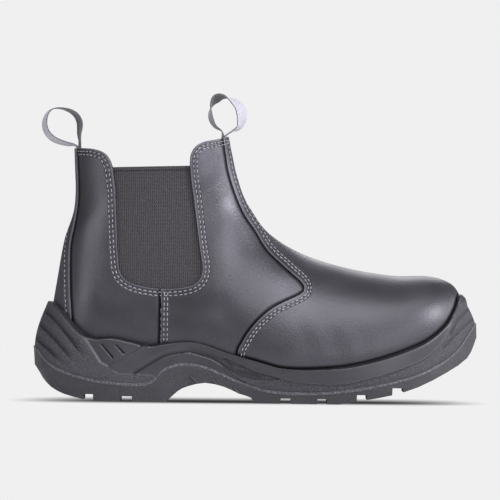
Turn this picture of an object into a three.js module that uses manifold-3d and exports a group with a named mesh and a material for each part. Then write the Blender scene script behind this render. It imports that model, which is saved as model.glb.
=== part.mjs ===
import * as THREE from 'three';
import { mergeVertices } from 'three/addons/utils/BufferGeometryUtils.js';
import Module from 'manifold-3d';

// Side gore work boot for the right foot, in millimetres.
// +X runs to the toe, -Y to the outer side of the foot and +Z up.
// The origin lies on the floor, in the middle of the rearmost lug of the heel.

// Driving sizes of the boot
const soleLength = 302; // back of the heel cup to the front of the toe bumper
const instepRise = 110; // floor to the bend where the foot turns into the shaft
const shaftRise = 71; // that bend up to the front of the collar
const ballWidth = 101; // upper across the ball of the foot
const heelWidth = 70; // upper across the heel
const collarWidth = 74; // upper across the collar
const soleBallWidth = 108; // sole across the ball of the foot
const soleHeelWidth = 80; // sole across the heel
const toeSwing = 6; // how far the toe turns towards the inner side of the foot
const restAlong = 0.173; // share of the length at which the origin lies

// Leather of the upper
const leather = 1.8; // rear quarter
const quarterLap = 0.5; // front quarter stands over the rear quarter
const strapLap = 0.9; // back strap stands over the rear quarter
const vampLap = 1.2; // vamp stands over the front quarter
const fitGap = 0.3; // clearance between pieces that touch

// Elastic, tapes and insole
const goreThickness = 1.4;
const goreTuck = 8; // elastic hidden behind the leather around the opening
const tapeWidth = 16;
const tapeThickness = 0.8;
const tapeTuck = 12; // tape sewn inside the collar
const tapeStand = 0.7;
const collarBend = 0.28; // ends of the collar are rounded to this share of its width
const insoleThickness = 4.5;

// Sole
const floorRaise = 3.2; // bed of the cup above the underside of the last
const cupWall = 3.4; // rubber standing around the upper
const leastWall = 1; // rubber left of it behind a recess
const bandDepth = 0.8; // side wall set back under the smooth band of the rim
const panelDepth = 1.2; // smooth panel set back beside the heel cup
const slotDepth = 2.2; // two slanted slots in that panel
const ribDepth = 1; // grooves round the heel and the toe
const ribWidth = 1.7;
const outsoleProud = 0.6; // outsole stands out under the parting line
const channelWidth = 5; // two channels that run along the tread
const channelSpread = 17; // their distance from the middle of the sole
const channelDepth = 3;
const channelRun = [0.08, 0.92]; // the channels run from the first share of the length to the second
const treadSlope = 1.6; // the cross gaps of the tread are this much wider at the floor

// How finely the curves are cut
const sectionSteps = 2; // sections for each row of the last
const crownSteps = 7; // points from the ridge of a section to its widest place
const turnSteps = 5; // points from there to its underside
const outlineSteps = 24; // points along each side of the sole
const lineSteps = 2; // points for each row of a line on the side
const evenness = 0.09; // faces flatter than this are joined

// A place in the side view, from its share of the length and its share of the height.
// A rise up to 1 follows the instep, and what is past 1 follows the shaft.
function place(along, rise) {
  const height = rise < 1 ? rise * instepRise : instepRise + (rise - 1) * shaftRise;
  return new THREE.Vector2((along - restAlong) * soleLength, height);
}

// The last with the leather on it, section by section: from the nose over the foot, round the heel and up to the collar.
// A section's plane passes through its ridge and its low end. Half is its half width as a share of
// the width that it follows. Swing turns it to the inner side, and lean carries its ridge further.
// Wide tells how far up it is widest, crown and turn how square it is above and below that place,
// and flat which share of its half width lies flat underneath.
const lastRows = [
  // ridge along, rise, low along, rise, follows, half, swing, lean, wide, crown, turn, flat
  [0.966, 0.665, 0.966, 0.375, ballWidth, 0.14, 1.0, 0.0, 0.45, 2.0, 2.0, 0.4],
  [0.944, 0.752, 0.944, 0.315, ballWidth, 0.26, 0.95, 0.05, 0.36, 2.1, 2.1, 0.55],
  [0.893, 0.8, 0.884, 0.268, ballWidth, 0.375, 0.8, 0.08, 0.28, 2.2, 2.3, 0.68],
  [0.807, 0.802, 0.79, 0.202, ballWidth, 0.455, 0.45, 0.1, 0.24, 2.2, 2.4, 0.75],
  [0.7, 0.848, 0.678, 0.148, ballWidth, 0.493, 0.15, 0.1, 0.22, 2.05, 2.4, 0.76],
  [0.599, 0.935, 0.555, 0.143, ballWidth, 0.488, -0.1, 0.1, 0.22, 1.85, 2.3, 0.72],
  [0.526, 1.09, 0.44, 0.212, ballWidth, 0.43, -0.3, 0.08, 0.24, 1.75, 2.2, 0.64],
  [0.485, 1.317, 0.327, 0.246, heelWidth, 0.55, -0.3, 0.05, 0.27, 1.8, 2.2, 0.6],
  [0.469, 1.44, 0.213, 0.255, heelWidth, 0.51, -0.1, 0.02, 0.3, 1.95, 2.2, 0.6],
  [0.46, 1.54, 0.111, 0.252, heelWidth, 0.495, 0, 0, 0.35, 2.05, 2.2, 0.5],
  [0.455, 1.614, 0.056, 0.272, heelWidth, 0.49, 0, 0, 0.4, 2.1, 2.15, 0.3],
  [0.45, 1.68, 0.033, 0.376, heelWidth, 0.485, 0, 0, 0.42, 2.15, 2.1, 0.1],
  [0.447, 1.738, 0.036, 0.53, heelWidth, 0.48, 0, 0, 0.42, 2.15, 2.05, 0.08],
  [0.444, 1.8, 0.048, 0.748, collarWidth, 0.455, 0, 0, 0.43, 2.15, 2.0, 0.08],
  [0.4415, 1.85, 0.063, 0.993, collarWidth, 0.465, 0, 0, 0.45, 2.15, 2.0, 0.08],
  [0.439, 1.895, 0.0835, 1.283, collarWidth, 0.48, 0, 0, 0.47, 2.15, 2.0, 0.08],
  [0.4365, 1.95, 0.0855, 1.62, collarWidth, 0.495, 0, 0, 0.48, 2.15, 2.0, 0.08],
  [0.434, 2.01, 0.083, 1.88, collarWidth, 0.5, 0, 0, 0.48, 2.15, 2.0, 0.08],
  [0.432, 2.13, 0.082, 2.08, collarWidth, 0.5, 0, 0, 0.48, 2.15, 2.0, 0.08],
];
const nose = [0.9755, 0.52]; // foremost point of the last

// Sole seen from above
const outlineRows = [
  // along, follows, half, swing
  [0, soleHeelWidth, 0, 0],
  [0.012, soleHeelWidth, 0.22, 0],
  [0.04, soleHeelWidth, 0.37, 0],
  [0.09, soleHeelWidth, 0.465, 0],
  [0.16, soleHeelWidth, 0.5, 0],
  [0.26, soleHeelWidth, 0.49, -0.1],
  [0.36, soleHeelWidth, 0.475, -0.4],
  [0.46, soleBallWidth, 0.375, -0.4],
  [0.56, soleBallWidth, 0.44, -0.2],
  [0.64, soleBallWidth, 0.485, 0],
  [0.71, soleBallWidth, 0.5, 0.15],
  [0.79, soleBallWidth, 0.49, 0.4],
  [0.86, soleBallWidth, 0.445, 0.65],
  [0.92, soleBallWidth, 0.355, 0.85],
  [0.96, soleBallWidth, 0.255, 0.95],
  [0.985, soleBallWidth, 0.155, 1],
  [1, soleBallWidth, 0, 1],
];

// How the outline of the sole changes from the floor up
const levelRows = [
  // rise, back along, front along, spread
  [-0.08, 0.05, 0.99, 0.94],
  [0.0, 0.042, 0.994, 0.95],
  [0.09, 0.022, 1.0, 0.985],
  [0.2, 0.003, 1.0, 1.0],
  [0.33, 0.0, 1.0, 0.99],
  [0.42, 0.004, 1.0, 0.965],
  [0.5, 0.0125, 0.999, 0.935],
  [0.58, 0.024, 0.988, 0.9],
  [0.66, 0.036, 0.972, 0.865],
  [0.8, 0.06, 0.945, 0.8],
];

// Lines of the side view, from the heel to the toe
const rimRows = [
  // along, rise
  [-0.04, 0.67],
  [0.036, 0.612],
  [0.07, 0.515],
  [0.101, 0.425],
  [0.135, 0.388],
  [0.175, 0.393],
  [0.215, 0.372],
  [0.258, 0.345],
  [0.29, 0.359],
  [0.335, 0.376],
  [0.375, 0.365],
  [0.44, 0.306],
  [0.51, 0.252],
  [0.56, 0.217],
  [0.62, 0.212],
  [0.7, 0.226],
  [0.77, 0.267],
  [0.84, 0.332],
  [0.89, 0.398],
  [0.93, 0.492],
  [0.952, 0.6],
  [0.959, 0.66],
];
const rimTip = [
  // along, rise
  [0.962, 0.69],
  [1.08, 0.715],
];
const partingRows = [
  // along, rise
  [-0.04, 0.39],
  [0.0, 0.325],
  [0.032, 0.228],
  [0.075, 0.17],
  [0.13, 0.128],
  [0.19, 0.108],
  [0.25, 0.107],
  [0.272, 0.132],
  [0.295, 0.2],
  [0.335, 0.235],
  [0.38, 0.223],
  [0.42, 0.182],
  [0.46, 0.132],
  [0.51, 0.085],
  [0.57, 0.064],
  [0.65, 0.065],
  [0.73, 0.09],
  [0.8, 0.129],
  [0.87, 0.186],
  [0.92, 0.256],
  [0.957, 0.335],
  [0.99, 0.466],
  [1.05, 0.7],
];
const undersideRows = {
  heel: [
    // along, rise
    [-0.03, 0.3],
    [0.005, 0.206],
    [0.02, 0.139],
    [0.04, 0.082],
    [0.07, 0.04],
    [0.11, 0.012],
    [0.135, 0],
  ],
  arch: [
    // along, rise
    [0.3, 0],
    [0.327, 0.07],
    [0.35, 0.1],
    [0.388, 0.122],
    [0.43, 0.1],
    [0.465, 0.058],
    [0.492, 0.034],
    [0.497, 0],
  ],
  toe: [
    // along, rise
    [0.69, 0],
    [0.753, 0.03],
    [0.81, 0.061],
    [0.87, 0.114],
    [0.934, 0.206],
    [0.98, 0.295],
    [0.998, 0.396],
    [1.03, 0.62],
  ],
};
const bedRows = [
  // along, rise
  [-0.05, 0.262],
  [0.2, 0.255],
  [0.33, 0.247],
  [0.44, 0.21],
  [0.555, 0.15],
  [0.68, 0.149],
  [0.79, 0.202],
  [0.884, 0.268],
  [0.945, 0.33],
  [0.975, 0.41],
  [1.02, 0.6],
];

// Edge of the collar, with the opening for the elastic, from the back to the front
const collarRows = {
  back: [
    // along, rise
    [-0.1, 1.88],
    [0.0, 1.88],
    [0.07, 1.88],
    [0.105, 1.88],
    [0.13, 1.87],
    [0.15, 1.84],
    [0.163, 1.772],
    [0.1715, 1.676],
  ],
  opening: [
    // along, rise
    [0.178, 1.472],
    [0.1825, 1.08],
    [0.1855, 0.92],
    [0.19, 0.815],
    [0.202, 0.76],
    [0.224, 0.727],
    [0.261, 0.705],
    [0.296, 0.7],
    [0.331, 0.707],
    [0.358, 0.727],
    [0.374, 0.768],
    [0.379, 0.84],
    [0.372, 0.965],
    [0.358, 1.39],
    [0.3515, 1.58],
  ],
  front: [
    // along, rise
    [0.348, 1.73],
    [0.35, 1.83],
    [0.361, 1.91],
    [0.379, 1.957],
    [0.4075, 1.982],
    [0.435, 2.01],
    [0.47, 2.04],
    [0.52, 2.08],
  ],
};
const goreTop = [
  // along, rise
  [0.1, 1.69],
  [0.42, 1.734],
];

// Edge of the vamp, from the collar to the point on the side and down to the sole
const vampRows = {
  upper: [
    // along, rise
    [0.421, 2.2],
    [0.4225, 2.0],
    [0.4275, 1.87],
    [0.4355, 1.67],
    [0.452, 1.455],
    [0.472, 1.27],
    [0.498, 1.11],
    [0.525, 0.955],
    [0.57, 0.838],
    [0.6, 0.766],
    [0.61, 0.73],
  ],
  lower: [
    // along, rise
    [0.608, 0.695],
    [0.595, 0.67],
    [0.57, 0.637],
    [0.544, 0.6],
    [0.523, 0.557],
    [0.501, 0.498],
    [0.483, 0.434],
    [0.471, 0.376],
    [0.461, 0.31],
    [0.455, 0.1],
  ],
};
const sideSeamAlong = 0.286; // front quarter laps over the rear one here, under the elastic
const strapRows = [
  // along, rise
  [0.087, 2.3],
  [0.0875, 1.9],
  [0.092, 1.55],
  [0.0915, 1.35],
  [0.0845, 1.14],
  [0.077, 0.975],
  [0.076, 0.85],
  [0.078, 0.67],
  [0.083, 0.47],
  [0.085, 0.1],
];

// Relief in the side of the midsole
const panelRows = [
  // along, rise
  [0.106, 0.5],
  [0.113, 0.385],
  [0.15, 0.232],
  [0.168, 0.208],
  [0.21, 0.276],
  [0.247, 0.338],
  [0.235, 0.5],
];
const slotRows = [
  // upper along, rise, lower along, rise
  [0.153, 0.352, 0.179, 0.27],
  [0.186, 0.348, 0.204, 0.298],
];
const archGrooveRows = [
  // along, rise
  [0.23, 0.168],
  [0.268, 0.235],
  [0.3, 0.281],
  [0.345, 0.305],
  [0.37, 0.293],
  [0.4, 0.269],
  [0.43, 0.222],
  [0.465, 0.16],
];
const bandRows = [
  // along, rise
  [0.43, 0.285],
  [0.49, 0.21],
  [0.56, 0.155],
  [0.63, 0.128],
  [0.7, 0.13],
  [0.78, 0.182],
  [0.86, 0.262],
  [0.905, 0.343],
  [0.935, 0.45],
  [0.95, 0.56],
];
const leafRows = [
  // along, rise
  [0.43, 0.275],
  [0.458, 0.17],
  [0.49, 0.14],
  [0.52, 0.137],
  [0.56, 0.152],
  [0.5, 0.197],
];
const ribRows = [
  // three rows for each rib: along, rise
  [[-0.02, 0.53], [0.03, 0.41], [0.09, 0.225]],
  [[-0.02, 0.445], [0.018, 0.335], [0.07, 0.21]],
  [[-0.02, 0.61], [0.04, 0.5], [0.115, 0.25]],
  [[0.93, 0.36], [0.965, 0.46], [1.02, 0.6]],
  [[0.945, 0.45], [0.967, 0.55], [1.02, 0.68]],
];
const treadGapRows = [
  // from along, to along, rise
  [0.115, 0.135, 0.042],
  [0.198, 0.223, 0.032],
  [0.559, 0.582, 0.032],
  [0.642, 0.663, 0.032],
  [0.731, 0.753, 0.06],
  [0.811, 0.835, 0.105],
];

// Centre lines of the pull tapes outside the collar. Tilt turns the inner face to the outer side of the foot.
const backTapeRows = [
  // along, rise, tilt in degrees
  [0.082, 1.912, 4],
  [0.068, 1.92, 8],
  [0.048, 1.943, 11],
  [0.033, 1.975, 13],
  [0.0205, 2.035, 13],
  [0.0155, 2.11, 12],
  [0.019, 2.19, 8],
  [0.028, 2.243, 3],
  [0.041, 2.264, 0],
  [0.057, 2.26, -3],
  [0.074, 2.237, -8],
  [0.087, 2.197, -12],
  [0.0945, 2.138, -14],
  [0.0955, 2.08, -13],
  [0.0945, 2.0, -8],
];
const frontTapeRows = [
  // along, rise, tilt in degrees
  [0.441, 2.062, -2],
  [0.456, 2.1, -10],
  [0.4615, 2.157, -20],
  [0.4625, 2.23, -25],
  [0.456, 2.305, -22],
  [0.441, 2.36, -12],
  [0.4215, 2.395, 8],
  [0.405, 2.378, 20],
  [0.3945, 2.32, 8],
  [0.391, 2.25, -6],
  [0.393, 2.18, -10],
  [0.402, 2.11, -6],
  [0.418, 2.06, 0],
];
const backCollar = [[0.083, 1.88], [0.083, 1.62]]; // back line of the shaft: along, rise
const frontCollar = [[0.434, 2.01], [0.444, 1.8]]; // front line of the shaft: along, rise

const wasm = await Module();
wasm.setup();

// Helpers for solids and lines

function solid(geometry) {
  const bare = geometry.clone();
  bare.deleteAttribute('normal');
  bare.deleteAttribute('uv');
  const merged = mergeVertices(bare, 1e-4);
  return new wasm.Manifold(new wasm.Mesh({
    numProp: 3,
    vertProperties: new Float32Array(merged.attributes.position.array),
    triVerts: new Uint32Array(merged.index.array),
  }));
}

function faceted(form) {
  const mesh = form.simplify(evenness).getMesh();
  const geometry = new THREE.BufferGeometry();
  geometry.setAttribute('position', new THREE.BufferAttribute(new Float32Array(mesh.vertProperties), 3));
  geometry.setIndex(new THREE.BufferAttribute(new Uint32Array(mesh.triVerts), 1));
  return geometry;
}

// A row at a place between the rows of a table, on one smooth curve through them
function blend(rows, at) {
  const start = Math.min(Math.floor(at), rows.length - 2);
  const share = at - start;
  const pick = (k) => rows[THREE.MathUtils.clamp(start + k, 0, rows.length - 1)];
  return rows[start].map((value, column) => {
    const [before, after, later] = [pick(-1)[column], pick(1)[column], pick(2)[column]];
    const bend = 3 * (value - after) + later - before;
    const turn = 2 * before - 5 * value + 4 * after - later;
    return value + 0.5 * share * (after - before + share * (turn + share * bend));
  });
}

function line(rows) {
  const curve = new THREE.SplineCurve(rows.map(([along, rise]) => place(along, rise)));
  return curve.getPoints(lineSteps * (rows.length - 1));
}

function lifted(points, height) {
  return points.map((point) => new THREE.Vector2(point.x, point.y + height));
}

// A line moved to its right-hand side
function widened(points, distance) {
  return points.map((point, k) => {
    const from = points[Math.max(k - 1, 0)];
    const to = points[Math.min(k + 1, points.length - 1)];
    const along = to.clone().sub(from).normalize();
    return new THREE.Vector2(point.x + along.y * distance, point.y - along.x * distance);
  });
}

const clear = soleLength / 10; // room around the boot that cutting shapes reach into
const reach = soleBallWidth; // half width of the cutting shapes
const left = place(0, 0).x - clear;
const right = place(1, 0).x + clear;
const roof = instepRise + shaftRise + tapeTuck + clear;

// An outline of the side view, carried across the boot
function across(points, from = -reach, to = reach) {
  const depth = to - from;
  const geometry = new THREE.ExtrudeGeometry(new THREE.Shape(points), { depth, bevelEnabled: false });
  geometry.rotateX(Math.PI / 2);
  geometry.translate(0, to, 0);
  return solid(geometry);
}

function sideBox(x0, x1, z0, z1, from, to) {
  const corners = [[x0, z0], [x1, z0], [x1, z1], [x0, z1]];
  return across(corners.map(([x, z]) => new THREE.Vector2(x, z)), from, to);
}

function above(points) {
  return across([...points, new THREE.Vector2(right, roof), new THREE.Vector2(left, roof)]);
}

function below(points) {
  return across([...points, new THREE.Vector2(right, -clear), new THREE.Vector2(left, -clear)]);
}

// A closed skin over rings of equal length, with a flat end or one point at the first of them.
// Both halves of a ring are cut into faces alike, as each other's mirror image.
function skin(rings, firstPoint) {
  const size = rings[0].length;
  const points = rings.flat();
  const faces = [];
  const flatEnd = (ring, order) => {
    for (let j = 0; j < size / 2 - 1; j++) {
      const corners = [j, j + 1, size - 2 - j, size - 1 - j].map((k) => ring * size + k);
      faces.push(...order.map((corner) => corners[corner]));
    }
  };
  for (let j = 0; j < size; j++) {
    const next = (j + 1) % size;
    for (let r = 0; r < rings.length - 1; r++) {
      const [a, b] = [r * size + j, r * size + next];
      if (j < size / 2) faces.push(a, b, b + size, a, b + size, a + size);
      else faces.push(a, b, a + size, b, b + size, a + size);
    }
    if (firstPoint) faces.push(points.length, next, j);
  }
  if (firstPoint) points.push(firstPoint);
  else flatEnd(0, [1, 0, 3, 1, 3, 2]);
  flatEnd(rings.length - 1, [0, 1, 2, 0, 2, 3]);
  const geometry = new THREE.BufferGeometry().setFromPoints(points);
  geometry.setIndex(faces);
  geometry.computeVertexNormals();
  return geometry;
}

// The same skin moved out along its normals, or in for a negative distance
function swollen(geometry, distance) {
  const { position, normal } = geometry.attributes;
  const moved = new THREE.BufferGeometry();
  const points = [];
  for (let k = 0; k < position.count; k++) {
    const point = new THREE.Vector3().fromBufferAttribute(position, k);
    points.push(point.addScaledVector(new THREE.Vector3().fromBufferAttribute(normal, k), distance));
  }
  moved.setFromPoints(points);
  moved.setIndex(geometry.index);
  return solid(moved);
}

// The last

function lastRing([ridgeX, ridgeZ, lowX, lowZ, half, swing, lean, wide, crown, turn, flat]) {
  const point = (up, side) => {
    const leaned = lean * half * Math.max(0, (up - wide) / (1 - wide));
    const x = THREE.MathUtils.lerp(lowX, ridgeX, up);
    return new THREE.Vector3(x, swing + leaned + side, THREE.MathUtils.lerp(lowZ, ridgeZ, up));
  };
  const inner = [];
  const outer = [];
  const both = (up, side) => {
    inner.push(point(up, side));
    outer.unshift(point(up, -side));
  };
  for (let k = 1; k <= crownSteps; k++) {
    const angle = (Math.PI / 2) * (1 - k / crownSteps);
    both(wide + (1 - wide) * Math.sin(angle) ** (2 / crown), half * Math.cos(angle) ** (2 / crown));
  }
  for (let k = 1; k <= turnSteps; k++) {
    const angle = (Math.PI / 2) * (k / turnSteps);
    const side = half * (flat + (1 - flat) * Math.abs(Math.cos(angle)) ** (2 / turn));
    both(wide * (1 - Math.sin(angle) ** (2 / turn)), side);
  }
  return [point(1, 0), ...inner, point(0, 0), ...outer];
}

function makeLast() {
  const rows = lastRows.map(([ridgeAlong, ridgeRise, lowAlong, lowRise, follows, half, swing, ...rest]) => {
    const ridge = place(ridgeAlong, ridgeRise);
    const low = place(lowAlong, lowRise);
    return [ridge.x, ridge.y, low.x, low.y, half * follows, swing * toeSwing, ...rest];
  });
  const rings = [];
  for (let k = 0; k <= (rows.length - 1) * sectionSteps; k++) {
    rings.push(lastRing(blend(rows, k / sectionSteps)));
  }
  const tip = place(...nose);
  return skin(rings, new THREE.Vector3(tip.x, toeSwing, tip.y));
}

const lastSkin = makeLast();
const last = (distance) => swollen(lastSkin, distance - vampLap);

// The sole's outer form

function makeSoleSkin() {
  const outline = outlineRows.map(([along, follows, half, swing]) => {
    return [Math.acos(1 - 2 * along), half * follows, swing * toeSwing];
  });
  const at = (angle) => {
    const next = outline.findIndex(([row]) => row >= angle - 1e-9);
    const start = Math.max(next, 1) - 1;
    const share = (angle - outline[start][0]) / (outline[start + 1][0] - outline[start][0]);
    return blend(outline, start + share);
  };
  const rings = levelRows.map(([rise, back, front, spread]) => {
    const [from, to] = [place(back, rise), place(front, rise)];
    const side = [];
    for (let k = 0; k <= outlineSteps; k++) {
      const angle = (Math.PI * k) / outlineSteps;
      const [, half, swing] = at(angle);
      const x = THREE.MathUtils.lerp(from.x, to.x, (1 - Math.cos(angle)) / 2);
      side.push({ x, swing, half: half * spread, z: from.y });
    }
    const outer = side.map(({ x, swing, half, z }) => new THREE.Vector3(x, swing - half, z));
    const inner = side.map(({ x, swing, half, z }) => new THREE.Vector3(x, swing + half, z));
    return [...outer, ...inner.slice(1, -1).reverse()];
  });
  return skin(rings);
}

const soleSkin = makeSoleSkin();
const sole = (distance) => swollen(soleSkin, distance);

// Upper: one hollow shell of leather with its laps

function lapped(distance) {
  const seam = place(sideSeamAlong, 0).x - distance;
  const strap = widened(line(strapRows), -distance);
  const vamp = widened([...line(vampRows.upper), ...line(vampRows.lower)], distance);
  const laps = [
    [quarterLap, sideBox(seam, right, -clear, roof)],
    [strapLap, across([...strap, new THREE.Vector2(left, -clear), new THREE.Vector2(left, roof)])],
    [vampLap, across([...vamp, new THREE.Vector2(right, -clear), new THREE.Vector2(right, roof)])],
  ];
  let form = last(distance);
  for (const [lap, area] of laps) form = form.add(last(lap + distance).intersect(area));
  return form;
}

function makeUpper() {
  const shell = lapped(0);
  const collar = [...line(collarRows.back), ...line(collarRows.opening), ...line(collarRows.front)];
  return shell.subtract(last(-leather))
    .subtract(above(collar))
    .subtract(below(lifted(line(bedRows), floorRaise + fitGap)));
}

// Elastic gores, tucked behind the leather around the opening

function makeGore(from, to) {
  const face = leather + fitGap;
  const shell = last(-face).subtract(last(-face - goreThickness));
  const opening = line(collarRows.opening);
  const [first, final] = [opening[0].clone(), opening.at(-1).clone()];
  first.y += shaftRise;
  final.y += shaftRise;
  const top = goreTop.map(([along, rise]) => place(along, rise));
  return shell.intersect(across(widened([first, ...opening, final], goreTuck), from, to)).intersect(below(top));
}

// Sole: cup of the midsole and the outsole under the parting line

const underside = [
  ...line(undersideRows.heel),
  ...line(undersideRows.arch),
  ...line(undersideRows.toe),
];
const rim = [...line(rimRows), ...rimTip.map(([along, rise]) => place(along, rise))];
const parting = line(partingRows);

function strip(points, width) {
  return across([...widened(points, width / 2), ...widened(points, -width / 2).reverse()]);
}

function makeMidsole() {
  const kept = lapped(fitGap + leastWall);
  const carve = (form, area, depth) => {
    return form.subtract(area.subtract(sole(-depth)).subtract(last(cupWall - depth)).subtract(kept));
  };
  let form = sole(0).add(last(cupWall)).intersect(below(rim));
  form = form.intersect(above(lifted(parting, fitGap / 2)));
  const bandLow = line(bandRows);
  const bandArea = across([...bandLow, new THREE.Vector2(right, bandLow.at(-1).y),
    new THREE.Vector2(right, -clear), new THREE.Vector2(bandLow[0].x, -clear)]);
  form = carve(form, bandArea, bandDepth);
  form = carve(form, across(line(leafRows)), bandDepth + panelDepth);
  form = carve(form, across(panelRows.map(([along, rise]) => place(along, rise))), panelDepth);
  form = carve(form, strip(line(archGrooveRows), ribWidth), ribDepth);
  for (const [upperAlong, upperRise, lowerAlong, lowerRise] of slotRows) {
    form = carve(form, strip([place(upperAlong, upperRise), place(lowerAlong, lowerRise)], ribWidth), slotDepth);
  }
  for (const rows of ribRows) form = carve(form, strip(line(rows), ribWidth), ribDepth);
  const cup = lapped(fitGap).intersect(above(lifted(line(bedRows), floorRaise)));
  return form.subtract(cup);
}

function makeOutsole() {
  let form = sole(outsoleProud).intersect(below(lifted(parting, -fitGap / 2))).intersect(above(underside));
  for (const [fromAlong, toAlong, rise] of treadGapRows) {
    const [from, to] = [place(fromAlong, rise), place(toAlong, rise)];
    form = form.subtract(across([
      new THREE.Vector2(from.x - treadSlope, -clear),
      new THREE.Vector2(to.x + treadSlope, -clear),
      new THREE.Vector2(to.x, to.y),
      new THREE.Vector2(from.x, from.y),
    ]));
  }
  const [from, to] = channelRun.map((along) => place(along, 0).x);
  const top = lifted(underside, channelDepth).filter((point) => point.x > from && point.x < to);
  const outline = [...top, new THREE.Vector2(to, -clear), new THREE.Vector2(from, -clear)];
  for (const side of [-channelSpread, channelSpread]) {
    form = form.subtract(across(outline, side - channelWidth / 2, side + channelWidth / 2));
  }
  return form;
}

function makeInsole() {
  const low = lifted(line(bedRows), floorRaise + fitGap);
  const area = across([...low, ...lifted(low, insoleThickness).reverse()]);
  return last(-leather - fitGap).intersect(area);
}

// Pull tapes: one flat tape folded into a loop, both ends sewn inside the collar

function makeTape(rows, [topShare, lowShare], inward) {
  const [top, low] = [place(...topShare), place(...lowShare)];
  const down = low.clone().sub(top).normalize();
  const inside = new THREE.Vector2(-down.y, down.x).multiplyScalar(inward);
  const bow = tapeWidth ** 2 / (8 * collarBend * collarWidth);
  const leg = (layer, depth) => {
    const seat = vampLap + leather + fitGap + tapeStand + tapeThickness / 2;
    const distance = seat + layer * (tapeThickness + fitGap);
    const point = top.clone().addScaledVector(inside, distance).addScaledVector(down, depth);
    return [point.x, point.y, 0, bow];
  };
  const free = rows.map(([along, rise, tilt]) => {
    const point = place(along, rise);
    return [point.x, point.y, THREE.MathUtils.degToRad(tilt), 0];
  });
  const path = [leg(0, tapeTuck), leg(0, tapeTuck / 2), leg(0, 0), ...free,
    leg(1, 0), leg(1, tapeTuck / 2), leg(1, tapeTuck)];
  const rings = path.map(([x, z, tilt, curl], k) => {
    const before = path[Math.max(k - 1, 0)];
    const after = path[Math.min(k + 1, path.length - 1)];
    const along = new THREE.Vector3(after[0] - before[0], 0, after[1] - before[1]).normalize();
    const wide = new THREE.Vector3(0, 1, 0).applyAxisAngle(along, tilt);
    const thick = new THREE.Vector3().crossVectors(along, wide);
    const point = (side, face) => new THREE.Vector3(x, 0, z)
      .addScaledVector(wide, (side * tapeWidth) / 2)
      .addScaledVector(thick, (face * tapeThickness) / 2)
      .addScaledVector(new THREE.Vector3(inside.x, 0, inside.y), curl * side ** 2);
    const sides = [-1, -0.5, 0, 0.5, 1];
    return [...sides.map((side) => point(side, -1)), ...sides.reverse().map((side) => point(side, 1))];
  });
  return skin(rings);
}

// The boot

const boot = new THREE.Group();

function add(name, geometry, color, roughness) {
  const material = new THREE.MeshStandardMaterial({ color, roughness, metalness: 0 });
  const mesh = new THREE.Mesh(geometry, material);
  mesh.name = name;
  boot.add(mesh);
}

const smoothLeather = 0x3d3d40;
const soleRubber = 0x35353a;
const elasticWeb = 0x3c3a3b;
const wovenTape = 0x4a4a52;
const liningCloth = 0x2c2c2e;

add('outsole', faceted(makeOutsole()), soleRubber, 0.8);
add('midsole', faceted(makeMidsole()), soleRubber, 0.7);
add('insole', faceted(makeInsole()), liningCloth, 0.9);
add('upper', faceted(makeUpper()), smoothLeather, 0.45);
add('gore_outer', faceted(makeGore(-reach, 0)), elasticWeb, 0.85);
add('gore_inner', faceted(makeGore(0, reach)), elasticWeb, 0.85);
add('pull_loop_back', makeTape(backTapeRows, backCollar, 1), wovenTape, 0.7);
add('pull_loop_front', makeTape(frontTapeRows, frontCollar, -1), wovenTape, 0.7);

export default boot;
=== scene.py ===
import math

import bmesh
import bpy
import numpy as np
from mathutils import Matrix, Vector
from mathutils.bvhtree import BVHTree
from mathutils.kdtree import KDTree


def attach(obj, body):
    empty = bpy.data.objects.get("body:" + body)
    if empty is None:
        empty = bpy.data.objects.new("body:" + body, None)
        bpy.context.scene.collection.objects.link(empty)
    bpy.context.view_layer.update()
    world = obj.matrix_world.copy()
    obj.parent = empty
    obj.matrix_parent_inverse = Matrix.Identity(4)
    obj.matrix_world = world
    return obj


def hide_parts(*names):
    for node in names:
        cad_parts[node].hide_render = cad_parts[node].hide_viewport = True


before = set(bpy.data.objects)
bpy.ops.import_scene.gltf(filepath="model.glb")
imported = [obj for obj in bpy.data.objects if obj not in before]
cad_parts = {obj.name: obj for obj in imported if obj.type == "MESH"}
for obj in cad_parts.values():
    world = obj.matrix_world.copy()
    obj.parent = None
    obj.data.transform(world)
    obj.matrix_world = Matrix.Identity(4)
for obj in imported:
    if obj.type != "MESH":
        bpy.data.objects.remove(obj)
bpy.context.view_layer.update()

# Side gore work boot for the right foot, in metres.
# +X runs to the toe, -Y to the outer side of the foot and +Z up.

# Driving sizes, the same as the solids have
SOLE_LENGTH = 0.302
INSTEP_RISE = 0.110
SHAFT_RISE = 0.071
BALL_WIDTH = 0.101
HEEL_WIDTH = 0.070
COLLAR_WIDTH = 0.074
SOLE_BALL_WIDTH = 0.108
SOLE_HEEL_WIDTH = 0.080
TOE_SWING = 0.006
REST_ALONG = 0.173

QUARTER_LAP = 0.0005
STRAP_LAP = 0.0009
VAMP_LAP = 0.0012
LEATHER = 0.0018
FIT_GAP = 0.0003
GORE_THICKNESS = 0.0014
TAPE_WIDTH = 0.016
TAPE_THICKNESS = 0.0008
TAPE_TUCK = 0.012
TAPE_SEAT = 0.0022  # middle of the tape's outer end inside the outer face of the collar
COLLAR_BEND = 0.28
CUP_WALL = 0.0034
BAND_DEPTH = 0.0008
PANEL_DEPTH = 0.0012
SLOT_DEPTH = 0.0022
RIB_DEPTH = 0.0010
RIB_WIDTH = 0.0017

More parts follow.
